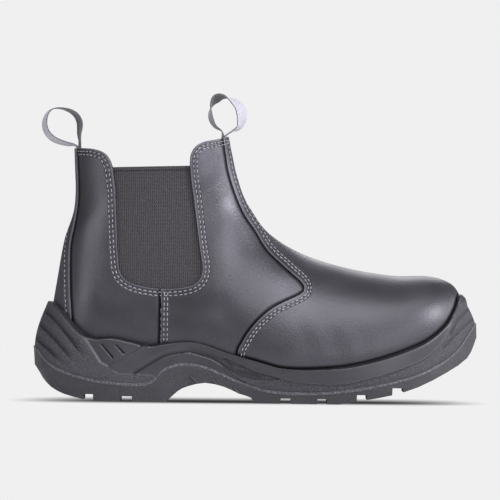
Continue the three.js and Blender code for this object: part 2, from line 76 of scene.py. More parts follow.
# Sizes that only the dressed boot has
PANEL_WALL = 0.0015  # leather of each panel
PANEL_ROUND = 0.0003  # rounding of the cut edges of leather
PANEL_TUCK = 0.008  # how far a panel runs on under its neighbour
CUP_TUCK = 0.009  # how far the leather runs down inside the cup
LINING_WALL = 0.0004
LINING_GAP = 0.0002  # between the lining and the leather
LINING_DROP = 0.0006  # the lining ends this far below the edge of the collar
STITCH_PITCH = 0.0035
STITCH_LENGTH = 0.0026
STITCH_WIDTH = 0.0007
STITCH_HEIGHT = 0.0006
NEEDLE_HOLE_SIZE = (0.0009, 0.0009, 0.0003)
SEAM_ROWS = (0.0022, 0.0045)  # two rows of stitches beside each edge of leather
VAMP_SEAM_ROWS = (0.0026, 0.0044)
STRAP_SEAM_ROW = 0.0030
GORE_TUCK = 0.007  # how far the elastic runs on behind the leather
GORE_ROUND = 0.0004
HEM_HALF = 0.0013  # half the height of the hem on top of the elastic
HEM_PROUD = 0.0005
# The dark line under the hem is painted shade
HEM_FOLD = 0.0027  # the dark line under the hem lies this far below its top
TAPE_ROUND = 0.00025
RIDGE_WIDTH = 0.0016  # ridges of the tread under the arch
RIDGE_HEIGHT = 0.0013
BEAD_HALF = 0.0009  # half the height of the bead between cup and tread
BEAD_PROUD = 0.0007
BEAD_WALL = 0.0030
RUBBER_ROUND = 0.0004
TREAD_SHARP = 32  # degrees between faces of the tread that make a sharp edge
RIM_ROUND = 0.0013  # rounding of the cup's upper edge
RIM_GAP = 0.0004  # dark gap between the cup and the leather
PUSHED_ABOVE = 0.008  # the cup follows the last above this height

# How finely the surfaces are cut
LAST_AROUND = 110  # steps round each half of a section
LAST_SECTIONS = 300
SOLE_AROUND = 540  # steps along each side of the sole
SOLE_LEVELS = 165
LINE_STEPS = 8
TAPE_STEPS = 12  # steps across the tape
SEARCH_STEP = 0.0004  # steps in which a seam is laid on the leather
STEEP = 0.12  # a stitch needs a surface that faces sideways at least this much
SAME_PLACE = 1e-6
NEAR_CUT = 0.2  # a point this near to a cut, as a share of its edge, moves onto it
SECTION_POINTS = 60  # points in each quarter of a section before it is spaced evenly
NOSE_RINGS = 6
RUN_POINTS = 1500  # points that measure the way round the sole
CHUNK = 8192  # points handled at a time
RIDGE_SIDES = 8
RIDGE_STEP = 0.0010

# The last with the leather on it, a row for each section from the nose to the collar
LAST_ROWS = [
    # ridge along, rise, low along, rise, follows, half, swing, lean, wide, crown, turn, flat
    [0.966, 0.665, 0.966, 0.375, BALL_WIDTH, 0.14, 1.0, 0.0, 0.45, 2.0, 2.0, 0.4],
    [0.944, 0.752, 0.944, 0.315, BALL_WIDTH, 0.26, 0.95, 0.05, 0.36, 2.1, 2.1, 0.55],
    [0.893, 0.8, 0.884, 0.268, BALL_WIDTH, 0.375, 0.8, 0.08, 0.28, 2.2, 2.3, 0.68],
    [0.807, 0.802, 0.79, 0.202, BALL_WIDTH, 0.455, 0.45, 0.1, 0.24, 2.2, 2.4, 0.75],
    [0.7, 0.848, 0.678, 0.148, BALL_WIDTH, 0.493, 0.15, 0.1, 0.22, 2.05, 2.4, 0.76],
    [0.599, 0.935, 0.555, 0.143, BALL_WIDTH, 0.488, -0.1, 0.1, 0.22, 1.85, 2.3, 0.72],
    [0.526, 1.09, 0.44, 0.212, BALL_WIDTH, 0.43, -0.3, 0.08, 0.24, 1.75, 2.2, 0.64],
    [0.485, 1.317, 0.327, 0.246, HEEL_WIDTH, 0.55, -0.3, 0.05, 0.27, 1.8, 2.2, 0.6],
    [0.469, 1.44, 0.213, 0.255, HEEL_WIDTH, 0.51, -0.1, 0.02, 0.3, 1.95, 2.2, 0.6],
    [0.46, 1.54, 0.111, 0.252, HEEL_WIDTH, 0.495, 0, 0, 0.35, 2.05, 2.2, 0.5],
    [0.455, 1.614, 0.056, 0.272, HEEL_WIDTH, 0.49, 0, 0, 0.4, 2.1, 2.15, 0.3],
    [0.45, 1.68, 0.033, 0.376, HEEL_WIDTH, 0.485, 0, 0, 0.42, 2.15, 2.1, 0.1],
    [0.447, 1.738, 0.036, 0.53, HEEL_WIDTH, 0.48, 0, 0, 0.42, 2.15, 2.05, 0.08],
    [0.444, 1.8, 0.048, 0.748, COLLAR_WIDTH, 0.455, 0, 0, 0.43, 2.15, 2.0, 0.08],
    [0.4415, 1.85, 0.063, 0.993, COLLAR_WIDTH, 0.465, 0, 0, 0.45, 2.15, 2.0, 0.08],
    [0.439, 1.895, 0.0835, 1.283, COLLAR_WIDTH, 0.48, 0, 0, 0.47, 2.15, 2.0, 0.08],
    [0.4365, 1.95, 0.0855, 1.62, COLLAR_WIDTH, 0.495, 0, 0, 0.48, 2.15, 2.0, 0.08],
    [0.434, 2.01, 0.083, 1.88, COLLAR_WIDTH, 0.5, 0, 0, 0.48, 2.15, 2.0, 0.08],
    [0.432, 2.13, 0.082, 2.08, COLLAR_WIDTH, 0.5, 0, 0, 0.48, 2.15, 2.0, 0.08],
]
NOSE = (0.9755, 0.52)

# Sole seen from above
OUTLINE_ROWS = [
    # along, follows, half, swing
    [0, SOLE_HEEL_WIDTH, 0, 0],
    [0.012, SOLE_HEEL_WIDTH, 0.22, 0],
    [0.04, SOLE_HEEL_WIDTH, 0.37, 0],
    [0.09, SOLE_HEEL_WIDTH, 0.465, 0],
    [0.16, SOLE_HEEL_WIDTH, 0.5, 0],
    [0.26, SOLE_HEEL_WIDTH, 0.49, -0.1],
    [0.36, SOLE_HEEL_WIDTH, 0.475, -0.4],
    [0.46, SOLE_BALL_WIDTH, 0.375, -0.4],
    [0.56, SOLE_BALL_WIDTH, 0.44, -0.2],
    [0.64, SOLE_BALL_WIDTH, 0.485, 0],
    [0.71, SOLE_BALL_WIDTH, 0.5, 0.15],
    [0.79, SOLE_BALL_WIDTH, 0.49, 0.4],
    [0.86, SOLE_BALL_WIDTH, 0.445, 0.65],
    [0.92, SOLE_BALL_WIDTH, 0.355, 0.85],
    [0.96, SOLE_BALL_WIDTH, 0.255, 0.95],
    [0.985, SOLE_BALL_WIDTH, 0.155, 1],
    [1, SOLE_BALL_WIDTH, 0, 1],
]

# How the outline of the sole changes from the floor up
LEVEL_ROWS = [
    # rise, back along, front along, spread
    [-0.08, 0.05, 0.99, 0.94],
    [0.0, 0.042, 0.994, 0.95],
    [0.09, 0.022, 1.0, 0.985],
    [0.2, 0.003, 1.0, 1.0],
    [0.33, 0.0, 1.0, 0.99],
    [0.42, 0.004, 1.0, 0.965],
    [0.5, 0.0125, 0.999, 0.935],
    [0.58, 0.024, 0.988, 0.9],
    [0.66, 0.036, 0.972, 0.865],
    [0.8, 0.06, 0.945, 0.8],
]

# Lines of the side view, from the heel to the toe: along, rise
RIM_ROWS = [
    [-0.04, 0.67], [0.036, 0.612], [0.07, 0.515], [0.101, 0.425], [0.135, 0.388], [0.175, 0.393],
    [0.215, 0.372], [0.258, 0.345], [0.29, 0.359], [0.335, 0.376], [0.375, 0.365], [0.44, 0.306],
    [0.51, 0.252], [0.56, 0.217], [0.62, 0.212], [0.7, 0.226], [0.77, 0.267], [0.84, 0.332],
    [0.89, 0.398], [0.93, 0.492], [0.952, 0.6], [0.959, 0.66],
]
RIM_TIP = [[0.962, 0.69], [1.08, 0.715]]
PARTING_ROWS = [
    [-0.04, 0.39], [0.0, 0.325], [0.032, 0.228], [0.075, 0.17], [0.13, 0.128], [0.19, 0.108],
    [0.25, 0.107], [0.272, 0.132], [0.295, 0.2], [0.335, 0.235], [0.38, 0.223], [0.42, 0.182],
    [0.46, 0.132], [0.51, 0.085], [0.57, 0.064], [0.65, 0.065], [0.73, 0.09], [0.8, 0.129],
    [0.87, 0.186], [0.92, 0.256], [0.957, 0.335], [0.99, 0.466], [1.05, 0.7],
]

# Edge of the collar, with the opening for the elastic: along, rise
COLLAR_BACK = [
    [-0.1, 1.88], [0.0, 1.88], [0.07, 1.88], [0.105, 1.88], [0.13, 1.87], [0.15, 1.84],
    [0.163, 1.772], [0.1715, 1.676],
]
OPENING = [
    [0.178, 1.472], [0.1825, 1.08], [0.1855, 0.92], [0.19, 0.815], [0.202, 0.76], [0.224, 0.727],
    [0.261, 0.705], [0.296, 0.7], [0.331, 0.707], [0.358, 0.727], [0.374, 0.768], [0.379, 0.84],
    [0.372, 0.965], [0.358, 1.39], [0.3515, 1.58],
]
COLLAR_FRONT = [
    [0.348, 1.73], [0.35, 1.83], [0.361, 1.91], [0.379, 1.957], [0.4075, 1.982], [0.435, 2.01],
    [0.47, 2.04], [0.52, 2.08],
]
GORE_TOP = [[0.1, 1.69], [0.42, 1.734]]

# Seams of the leather: along, rise
VAMP_UPPER = [
    [0.421, 2.2], [0.4225, 2.0], [0.4275, 1.87], [0.4355, 1.67], [0.452, 1.455], [0.472, 1.27],
    [0.498, 1.11], [0.525, 0.955], [0.57, 0.838], [0.6, 0.766], [0.61, 0.73],
]
VAMP_LOWER = [
    [0.608, 0.695], [0.595, 0.67], [0.57, 0.637], [0.544, 0.6], [0.523, 0.557], [0.501, 0.498],
    [0.483, 0.434], [0.471, 0.376], [0.461, 0.31], [0.455, 0.1],
]
SIDE_SEAM_ALONG = 0.286
STRAP_ROWS = [
    [0.087, 2.3], [0.0875, 1.9], [0.092, 1.55], [0.0915, 1.35], [0.0845, 1.14], [0.077, 0.975],
    [0.076, 0.85], [0.078, 0.67], [0.083, 0.47], [0.085, 0.1],
]

# Relief in the side of the cup: along, rise
PANEL_ROWS = [
    [0.106, 0.5], [0.113, 0.385], [0.15, 0.232], [0.168, 0.208], [0.21, 0.276], [0.247, 0.338],
    [0.235, 0.5],
]
SLOT_ROWS = [
    [[0.153, 0.352], [0.179, 0.27]],
    [[0.186, 0.348], [0.204, 0.298]],
]
ARCH_GROOVE_ROWS = [
    [0.23, 0.168], [0.268, 0.235], [0.3, 0.281], [0.345, 0.305], [0.37, 0.293], [0.4, 0.269],
    [0.43, 0.222], [0.465, 0.16],
]
ARCH_RIDGE_ROWS = [
    [[0.352, 0.168], [0.372, 0.118]],
    [[0.403, 0.148], [0.419, 0.103]],
    [[0.452, 0.1], [0.466, 0.058]],
]
BAND_ROWS = [
    [0.43, 0.285], [0.49, 0.21], [0.56, 0.155], [0.63, 0.128], [0.7, 0.13], [0.78, 0.182],
    [0.86, 0.262], [0.905, 0.343], [0.935, 0.45], [0.95, 0.56],
]
LEAF_ROWS = [
    [0.43, 0.275], [0.458, 0.17], [0.49, 0.14], [0.52, 0.137], [0.56, 0.152], [0.5, 0.197],
]
HEEL_RIB_ROWS = [
    [[-0.02, 0.53], [0.03, 0.41], [0.09, 0.225]],
    [[-0.02, 0.445], [0.018, 0.335], [0.07, 0.21]],
    [[-0.02, 0.61], [0.04, 0.5], [0.115, 0.25]],
]
TOE_RIB_ROWS = [
    [[0.93, 0.36], [0.965, 0.46], [1.02, 0.6]],
    [[0.945, 0.45], [0.967, 0.55], [1.02, 0.68]],
]

# Smooth rubber of the cup, before and after the line of the band: along, rise
SMOOTH_START = [[0.168, 0.206], [0.258, 0.34], [0.258, 0.6], [1.08, 0.9], [0.96, 0.62]]
SMOOTH_END = [
    [0.424, 0.239], [0.459, 0.155], [0.479, 0.127], [0.479, 0.0], [0.285, 0.0], [0.275, 0.157],
    [0.265, 0.166], [0.225, 0.17], [0.19, 0.174],
]

# Centre lines of the pull tapes outside the collar: along, rise, tilt in degrees
BACK_TAPE_ROWS = [
    [0.082, 1.912, 4], [0.068, 1.92, 8], [0.048, 1.943, 11], [0.033, 1.975, 13],
    [0.0205, 2.035, 13], [0.0155, 2.11, 12], [0.019, 2.19, 8], [0.028, 2.243, 3],
    [0.041, 2.264, 0], [0.057, 2.26, -3], [0.074, 2.237, -8], [0.087, 2.197, -12],
    [0.0945, 2.138, -14], [0.0955, 2.08, -13], [0.0945, 2.0, -8],
]
FRONT_TAPE_ROWS = [
    [0.441, 2.062, -2], [0.456, 2.1, -10], [0.4615, 2.157, -20], [0.4625, 2.23, -25],
    [0.456, 2.305, -22], [0.441, 2.36, -12], [0.4215, 2.395, 8], [0.405, 2.378, 20],
    [0.3945, 2.32, 8], [0.391, 2.25, -6], [0.393, 2.18, -10], [0.402, 2.11, -6],
    [0.418, 2.06, 0],
]
BACK_COLLAR = [[0.083, 1.88], [0.083, 1.62]]
FRONT_COLLAR = [[0.434, 2.01], [0.444, 1.8]]

# Creases of the leather: side view points along, rise, then half width and depth in metres
CREASE_ROWS = [
    ([[0.165, 0.62], [0.2, 0.55], [0.25, 0.5]], 0.009, 0.0008),
    ([[0.3, 0.62], [0.36, 0.58], [0.42, 0.6]], 0.010, 0.0007),
    ([[0.42, 0.56], [0.45, 0.47], [0.46, 0.4]], 0.010, 0.0005),
    ([[0.59, 0.55], [0.615, 0.42], [0.625, 0.3]], 0.009, 0.00025),
    ([[0.65, 0.55], [0.675, 0.42], [0.69, 0.3]], 0.010, 0.0003),
    ([[0.72, 0.5], [0.74, 0.4], [0.75, 0.31]], 0.009, 0.0002),
    ([[0.1, 1.5], [0.115, 1.3], [0.14, 1.15]], 0.012, 0.0005),
    ([[0.4, 1.5], [0.42, 1.2], [0.45, 1.0]], 0.012, 0.0003),
]

# Painted shade and, below 0, painted highlights on the leather: along, rise, then half length
# and half height in metres, strength
PAINTED_LIGHT_ROWS = [
    [0.2, 0.56, 0.022, 0.010, 0.45],
    [0.335, 0.6, 0.016, 0.022, 0.75],
    [0.398, 1.0, 0.007, 0.042, 0.7],
    [0.45, 0.5, 0.018, 0.016, 0.6],
    [0.102, 1.35, 0.007, 0.045, 0.85],
    [0.09, 0.7, 0.004, 0.035, 0.6],
    [0.56, 0.95, 0.020, 0.008, 0.3],
    [0.68, 0.7, 0.045, 0.006, 0.3],
    [0.66, 0.81, 0.016, 0.006, 0.45],
    [0.73, 0.74, 0.024, 0.007, 0.5],
    [0.83, 0.66, 0.024, 0.007, 0.6],
    [0.91, 0.69, 0.012, 0.006, 0.5],
    [0.385, 1.8, 0.010, 0.016, -1.0],
    [0.43, 1.5, 0.012, 0.025, -0.6],
    [0.43, 0.95, 0.012, 0.030, -0.5],
    [0.575, 0.72, 0.018, 0.010, -0.7],
    [0.6, 0.58, 0.022, 0.012, -0.4],
    [0.893, 0.59, 0.012, 0.008, -0.6],
    [0.135, 1.0, 0.010, 0.030, -0.3],
]


# Lines and areas of the side view

def place(along, rise):
    """A place in the side view from its shares of the sole's length and of the height, where
    a rise from 0 to 1 is up to the instep and from 1 to 2 is up the shaft."""
    height = rise * INSTEP_RISE if rise < 1 else INSTEP_RISE + (rise - 1) * SHAFT_RISE
    return (along - REST_ALONG) * SOLE_LENGTH, height


def blend(rows, at):
    """A row at a place between the rows of a table, on one smooth curve through them."""
    start = min(int(at), len(rows) - 2)
    share = at - start
    picked = [rows[min(max(start + k, 0), len(rows) - 1)] for k in (-1, 0, 1, 2)]
    before, value, after, later = picked
    bend = 3 * (value - after) + later - before
    turn = 2 * before - 5 * value + 4 * after - later
    return value + 0.5 * share * (after - before + share * (turn + share * bend))


def smoothed(points):
    """Steps on a smooth curve through points or rows."""
    steps = (len(points) - 1) * LINE_STEPS + 1
    return np.array([blend(points, k / LINE_STEPS) for k in range(steps)])


def curve(rows):
    return smoothed(np.array([place(along, rise) for along, rise in rows]))


def widened(points, distance):
    """A line moved to its right-hand side."""
    step = np.gradient(points, axis=0)
    step /= np.linalg.norm(step, axis=1)[:, None]
    return points + distance * np.stack([step[:, 1], -step[:, 0]], axis=1)


ROOM = SOLE_LENGTH / 10
LEFT = place(0, 0)[0] - ROOM
RIGHT = place(1, 0)[0] + ROOM
ROOF = INSTEP_RISE + SHAFT_RISE + ROOM


def area(*parts):
    return np.concatenate([np.atleast_2d(part) for part in parts])


def above(line):
    return area(line, (RIGHT, ROOF), (LEFT, ROOF))


def below(line):
    return area(line, (RIGHT, -ROOM), (LEFT, -ROOM))


def line_offset(points, line):
    """Distance of side view points from an open line, positive on its left-hand side."""
    tree = KDTree(len(line))
    for index, (x, z) in enumerate(line.tolist()):
        tree.insert((x, 0, z), index)
    tree.balance()
    nearest = np.array([tree.find((x, 0, z))[1] for x, z in points.tolist()], int)
    result = np.full(len(points), np.inf)
    for first in (np.maximum(nearest - 1, 0), np.minimum(nearest, len(line) - 2)):
        start, step = line[first], line[first + 1] - line[first]
        length = np.maximum((step ** 2).sum(axis=1), 1e-12)
        share = np.clip(((points - start) * step).sum(axis=1) / length, 0, 1)
        gap = points - start - share[:, None] * step
        offset = np.sqrt((gap ** 2).sum(axis=1))
        offset = np.where(step[:, 0] * gap[:, 1] < step[:, 1] * gap[:, 0], -offset, offset)
        result = np.where(np.abs(offset) < np.abs(result), offset, result)
    return result


def line_distance(points, line):
    return np.abs(line_offset(points, line))


def depth_inside(points, polygon):
    """How far side view points lie inside a closed area, negative outside of it."""
    closed = np.concatenate([polygon, polygon[:1]])
    x0, z0 = polygon.T
    x1, z1 = closed[1:].T
    slope = (x1 - x0) / np.where(z1 == z0, 1, z1 - z0)
    within = np.empty(len(points), bool)
    for first in range(0, len(points), CHUNK):
        x, z = points[first:first + CHUNK].T[..., None]
        crosses = ((z0 > z) != (z1 > z)) & (x < x0 + (z - z0) * slope)
        within[first:first + CHUNK] = crosses.sum(axis=1) % 2 == 1
    return line_distance(points, closed) * np.where(within, 1, -1)


RIM = area(curve(RIM_ROWS), *[place(*row) for row in RIM_TIP])
PARTING = curve(PARTING_ROWS)
COLLAR = area(curve(COLLAR_BACK), curve(OPENING), curve(COLLAR_FRONT))
VAMP_EDGE = area(curve(VAMP_UPPER), curve(VAMP_LOWER))
STRAP_EDGE = curve(STRAP_ROWS)
SIDE_SEAM_X = place(SIDE_SEAM_ALONG, 0)[0]
SIDE_SEAM = np.array([(SIDE_SEAM_X, COLLAR[:, 1].min()), (SIDE_SEAM_X, 0.0)])
CUP_LINE = RIM - (0, CUP_TUCK)


def vamp_area(back=0.0):
    return area(widened(VAMP_EDGE, back), (RIGHT, -ROOM), (RIGHT, ROOF))


def strap_area(forward=0.0):
    return area(widened(STRAP_EDGE, -forward), (LEFT, -ROOM), (LEFT, ROOF))


def forward_of(x):
    return np.array([(x, -ROOM), (RIGHT, -ROOM), (RIGHT, ROOF), (x, ROOF)])


# Surfaces of the last and the sole as grids of points

def last_section(row):
    """One section, from its ridge down the inner side and up the outer one."""
    ridge_x, ridge_z, low_x, low_z, half, swing, lean, wide, crown, turn, flat = row
    upper = np.linspace(math.pi / 2, 0, SECTION_POINTS)
    lower = np.linspace(0, math.pi / 2, SECTION_POINTS)[1:]
    up = np.concatenate([
        wide + (1 - wide) * np.sin(upper) ** (2 / crown),
        wide * (1 - np.sin(lower) ** (2 / turn)), [0]])
    side = half * np.concatenate([
        np.abs(np.cos(upper)) ** (2 / crown),
        flat + (1 - flat) * np.abs(np.cos(lower)) ** (2 / turn), [0]])
    height = math.hypot(ridge_x - low_x, ridge_z - low_z)
    run = np.concatenate([[0], np.cumsum(np.hypot(np.diff(up) * height, np.diff(side)))])
    even = np.linspace(0, run[-1], LAST_AROUND + 1)
    up, side = np.interp(even, run, up), np.interp(even, run, side)
    middle = swing + lean * half * np.maximum(0, (up - wide) / (1 - wide))
    x, z = low_x + (ridge_x - low_x) * up, low_z + (ridge_z - low_z) * up
    inner = np.stack([x, middle + side, z], axis=1)
    outer = np.stack([x, middle - side, z], axis=1)
    return np.concatenate([inner, outer[-2:0:-1]])


def last_grid():
    """Sections of the last from the nose to above the collar, evenly spaced."""
    rows = np.array([
        [*place(*row[0:2]), *place(*row[2:4]), row[4] * row[5], row[6] * TOE_SWING, *row[7:]]
        for row in LAST_ROWS])
    tries = np.linspace(0, len(rows) - 1, 40 * len(rows))
    ends = np.array([blend(rows, at)[:4] for at in tries])
    step = np.hypot(*np.diff(ends[:, :2], axis=0).T) + np.hypot(*np.diff(ends[:, 2:], axis=0).T)
    run = np.concatenate([[0], np.cumsum(step)])
    places = np.interp(np.linspace(0, run[-1], LAST_SECTIONS + 1), run, tries)
    sections = [last_section(blend(rows, at)) for at in places]
    middle = sections[0].mean(axis=0)
    nose_x, nose_z = place(*NOSE)
    tip = np.array([nose_x, TOE_SWING, nose_z]) - middle
    cap = [
        middle + (sections[0] - middle) * math.sin(angle) + tip * math.cos(angle)
        for angle in np.linspace(0, math.pi / 2, NOSE_RINGS + 1)[:-1]]
    return np.array(cap + sections)


def grid_normals(grid):
    """Outward normals of a grid whose columns close on themselves."""
    around = np.roll(grid, -1, axis=1) - np.roll(grid, 1, axis=1)
    along = np.gradient(grid, axis=0)
    normals = np.cross(around, along)
    length = np.linalg.norm(normals, axis=2, keepdims=True)
    normals /= np.maximum(length, 1e-12)
    middle = grid.mean(axis=(0, 1))
    outward = ((grid - middle) * normals).sum()
    return normals if outward > 0 else -normals


def surface_tree(grid):
    rows, columns = grid.shape[:2]
    index = np.arange(rows * columns).reshape(rows, columns)
    after = np.roll(index, -1, axis=1)
    faces = np.stack([index[:-1], after[:-1], after[1:], index[1:]], axis=2).reshape(-1, 4)
    return BVHTree.FromPolygons(grid.reshape(-1, 3).tolist(), faces.tolist())


LAST = last_grid()
LAST_NORMALS = grid_normals(LAST)


def last_at(distance):
    """The last moved out along its normals, where 0 is the face of the rear quarter."""
    return LAST + LAST_NORMALS * (np.asarray(distance)[..., None] - VAMP_LAP)


# Mesh work that every piece shares

def grid_mesh(grid):
    """A bmesh grid laid on rows of points whose columns close on themselves."""
    rows, columns = grid.shape[:2]
    closed = np.concatenate([grid, grid[:, :1]], axis=1).reshape(-1, 3)
    bm = bmesh.new()
    bmesh.ops.create_grid(bm, x_segments=columns, y_segments=rows - 1, size=1)
    for vert, point in zip(bm.verts, closed.tolist()):
        vert.co = point
    bmesh.ops.remove_doubles(bm, verts=bm.verts[:], dist=SAME_PLACE)
    bm.normal_update()
    middle = Vector(closed.mean(axis=0))
    outward = sum((face.calc_center_median() - middle).dot(face.normal) for face in bm.faces)
    if outward < 0:
        bmesh.ops.reverse_faces(bm, faces=bm.faces[:])
    return bm


def side_view(bm):
    return np.array([(vert.co.x, vert.co.z) for vert in bm.verts])


def score(bm, polygon, keep):
    """Cuts the mesh along the outline of a side view area, with an edge loop on the cut.
    Keep is +1 to keep the inside of the area, -1 the outside."""
    layer = bm.verts.layers.float.get("score") or bm.verts.layers.float.new("score")
    values = depth_inside(side_view(bm), polygon) * keep
    for vert, value in zip(bm.verts, values.tolist()):
        vert[layer] = value
    outside = [f for f in bm.faces if max(v[layer] for v in f.verts) < 0]
    bmesh.ops.delete(bm, geom=outside, context="FACES")
    for edge in bm.edges:
        first, last = edge.verts
        if first[layer] * last[layer] < 0:
            share = first[layer] / (first[layer] - last[layer])
            if share < NEAR_CUT or share > 1 - NEAR_CUT:
                near = first if share < 0.5 else last
                near.co = first.co.lerp(last.co, share)
                near[layer] = 0
    crossing = [e for e in bm.edges if e.verts[0][layer] * e.verts[1][layer] < 0]
    for edge in crossing:
        first, last = edge.verts
        share = first[layer] / (first[layer] - last[layer])
        cut = bmesh.utils.edge_split(edge, first, share)[1]
        cut[layer] = 0
    bmesh.ops.connect_verts(bm, verts=[v for v in bm.verts if v[layer] == 0])
    outside = [f for f in bm.faces if min(v[layer] for v in f.verts) < 0]
    bmesh.ops.delete(bm, geom=outside, context="FACES")
    loose = [v for v in bm.verts if not v.link_faces]
    bmesh.ops.delete(bm, geom=loose, context="VERTS")


def mark(bm, name, values):
    """Stores one number for each point of the mesh, for its material."""
    layer = bm.verts.layers.float.get(name) or bm.verts.layers.float.new(name)
    for vert, value in zip(bm.verts, np.asarray(values).tolist()):
        vert[layer] = value


def finish(bm, name, materials, node, sharp=40):
    """Makes the bmesh a piece of the boot that stands for a node."""
    mesh = bpy.data.meshes.new(name)
    bm.to_mesh(mesh)
    bm.free()
    for material in materials:
        mesh.materials.append(material)
    mesh.shade_smooth()
    mesh.set_sharp_from_angle(angle=math.radians(sharp))
    piece = bpy.data.objects.new(name, mesh)
    bpy.context.scene.collection.objects.link(piece)
    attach(piece, "root")
    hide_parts(node)
    return piece


def thicken(piece, wall):
    solid = piece.modifiers.new("wall", "SOLIDIFY")
    solid.thickness = wall
    solid.offset = -1


def soften(piece, width, segments=2, angle=40):
    bevel = piece.modifiers.new("soft edges", "BEVEL")
    bevel.width = width
    bevel.segments = segments
    bevel.limit_method = "ANGLE"
    bevel.angle_limit = math.radians(angle)
    bevel.harden_normals = True


# Materials

def add_node(tree, kind, *inputs, **settings):
    """Adds a node, sets its options and feeds its inputs in their order."""
    made = tree.nodes.new(kind)
    for option, value in settings.items():
        setattr(made, option, value)
    for socket, value in zip(made.inputs, inputs):
        feed(tree, socket, value)
    return made


def feed(tree, socket, value):
    if isinstance(value, bpy.types.NodeSocket):
        tree.links.new(value, socket)
    elif value is not None:
        socket.default_value = value


def maths(tree, operation, *values):
    return add_node(tree, "ShaderNodeMath", *values, operation=operation).outputs[0]


def ramp(tree, value, low, high, at_low=0.0, at_high=1.0):
    """Turns a value between low and high smoothly into one between two others."""
    return add_node(tree, "ShaderNodeMapRange", value, low, high, at_low, at_high,
                    interpolation_type="SMOOTHSTEP").outputs[0]


def mixed(tree, mask, first, second):
    made = tree.nodes.new("ShaderNodeMix")
    made.data_type = "RGBA"
    feed(tree, made.inputs["Factor"], mask)
    feed(tree, made.inputs[6], first)
    feed(tree, made.inputs[7], second)
    return made.outputs[2]


def noise(tree, position, scale, detail=2.0, rough=0.5):
    made = add_node(tree, "ShaderNodeTexNoise")
    feed(tree, made.inputs["Vector"], position)
    feed(tree, made.inputs["Scale"], scale)
    made.inputs["Detail"].default_value = detail
    made.inputs["Roughness"].default_value = rough
    return made.outputs["Fac"]


def cells(tree, position, scale, feature="F1"):
    made = add_node(tree, "ShaderNodeTexVoronoi", feature=feature)
    feed(tree, made.inputs["Vector"], position)
    feed(tree, made.inputs["Scale"], scale)
    return made.outputs["Distance"]


def shader_group(name, inputs, outputs):
    """A node group with named float inputs and named outputs."""
    group = bpy.data.node_groups.new(name, "ShaderNodeTree")
    for label, value in inputs.items():
        socket = group.interface.new_socket(label, in_out="INPUT", socket_type="NodeSocketFloat")
        socket.default_value = value
    for label in outputs:
        group.interface.new_socket(label, in_out="OUTPUT", socket_type="NodeSocketFloat")
    source = group.nodes.new("NodeGroupInput")
    target = group.nodes.new("NodeGroupOutput")
    return group, source.outputs, target.inputs


def coordinates(tree):
    return tree.nodes.new("ShaderNodeTexCoord").outputs["Object"]


def attribute(tree, name):
    return add_node(tree, "ShaderNodeAttribute", attribute_name=name).outputs["Fac"]


def grain_group():
    """Leather grain: fine pebbles with pores, and broad patches."""
    group, given, result = shader_group("leather grain", {"Pebble": 900.0}, ["Height", "Patches"])
    position = coordinates(group)
    pebbles = cells(group, position, given["Pebble"], "SMOOTH_F1")
    wrinkles = noise(group, position, 420, 4, 0.6)
    height = maths(group, "ADD", pebbles, wrinkles)
    feed(group, result["Height"], height)
    feed(group, result["Patches"], noise(group, position, 22, 3, 0.55))
    return group


def seam_group():
    """Height and painted light beside a cut edge: worn rim with a painted highlight, two sunk rows
    of thread with painted shade, and painted shade in the gap beside the neighbour."""
    group, given, result = shader_group(
        "seam", {"Edge": 1.0, "Row 1": 0.0022, "Row 2": 0.0045, "Neighbour": 1.0},
        ["Height", "Rim", "Trough", "Crevice"])
    # The troughs of the thread rows are darkened in the material as painted shade
    rows = []
    for label in ("Row 1", "Row 2"):
        gap = maths(group, "ABSOLUTE", maths(group, "SUBTRACT", given["Edge"], given[label]))
        rows.append(ramp(group, gap, 0.0, 0.0009, 1.0, 0.0))
    trough = maths(group, "MAXIMUM", *rows)
    feed(group, result["Trough"], trough)
    # The rim share makes the cut edge paler: partly wear, partly a painted highlight
    feed(group, result["Rim"], ramp(group, given["Edge"], 0.0002, 0.0009, 1.0, 0.0))
    # Painted shade in the gap beside the neighbouring panel, where its edge laps over
    crevice = ramp(group, given["Neighbour"], 0.0010, 0.0030, 1.0, 0.0)
    feed(group, result["Crevice"], crevice)
    sunk = maths(group, "ADD", trough, crevice)
    feed(group, result["Height"], maths(group, "MULTIPLY", sunk, -1.0))
    return group


def stipple_group():
    """Moulded rubber: sandy stipple and a fainter skin on smooth faces."""
    group, given, result = shader_group("stipple", {"Grit": 900.0}, ["Height", "Patches"])
    position = coordinates(group)
    feed(group, result["Height"], noise(group, position, given["Grit"], 3))
    feed(group, result["Patches"], noise(group, position, 30, 3, 0.6))
    return group


def weave_group():
    """Woven tape or elastic: ribs along one direction crossed by finer picks."""
    group, given, result = shader_group(
        "weave", {"Across": 0.0, "Along": 0.0, "Rib": 1.0, "Pick": 1.0}, ["Height"])
    waves = []
    for place_name, count in (("Across", "Rib"), ("Along", "Pick")):
        turn = maths(group, "MULTIPLY", given[place_name], given[count])
        waves.append(maths(group, "SINE", turn))
    feed(group, result["Height"], maths(group, "MULTIPLY", *waves))
    return group


GRAIN = grain_group()
SEAM = seam_group()
STIPPLE = stipple_group()
WEAVE = weave_group()


def use_group(tree, group, **inputs):
    made = tree.nodes.new("ShaderNodeGroup")
    made.node_tree = group
    for label, value in inputs.items():
        feed(tree, made.inputs[label.replace("_", " ")], value)
    return made.outputs


def paint(shade, factor=1.0):
    """A colour for a socket, made lighter or darker by a factor."""
    return tuple(part * factor for part in shade) + (1,)


def new_material(name, roughness=0.6):
    material = bpy.data.materials.new(name)
    material.use_nodes = True
    shader = material.node_tree.nodes["Principled BSDF"]
    shader.inputs["Roughness"].default_value = roughness
    return material, material.node_tree, shader


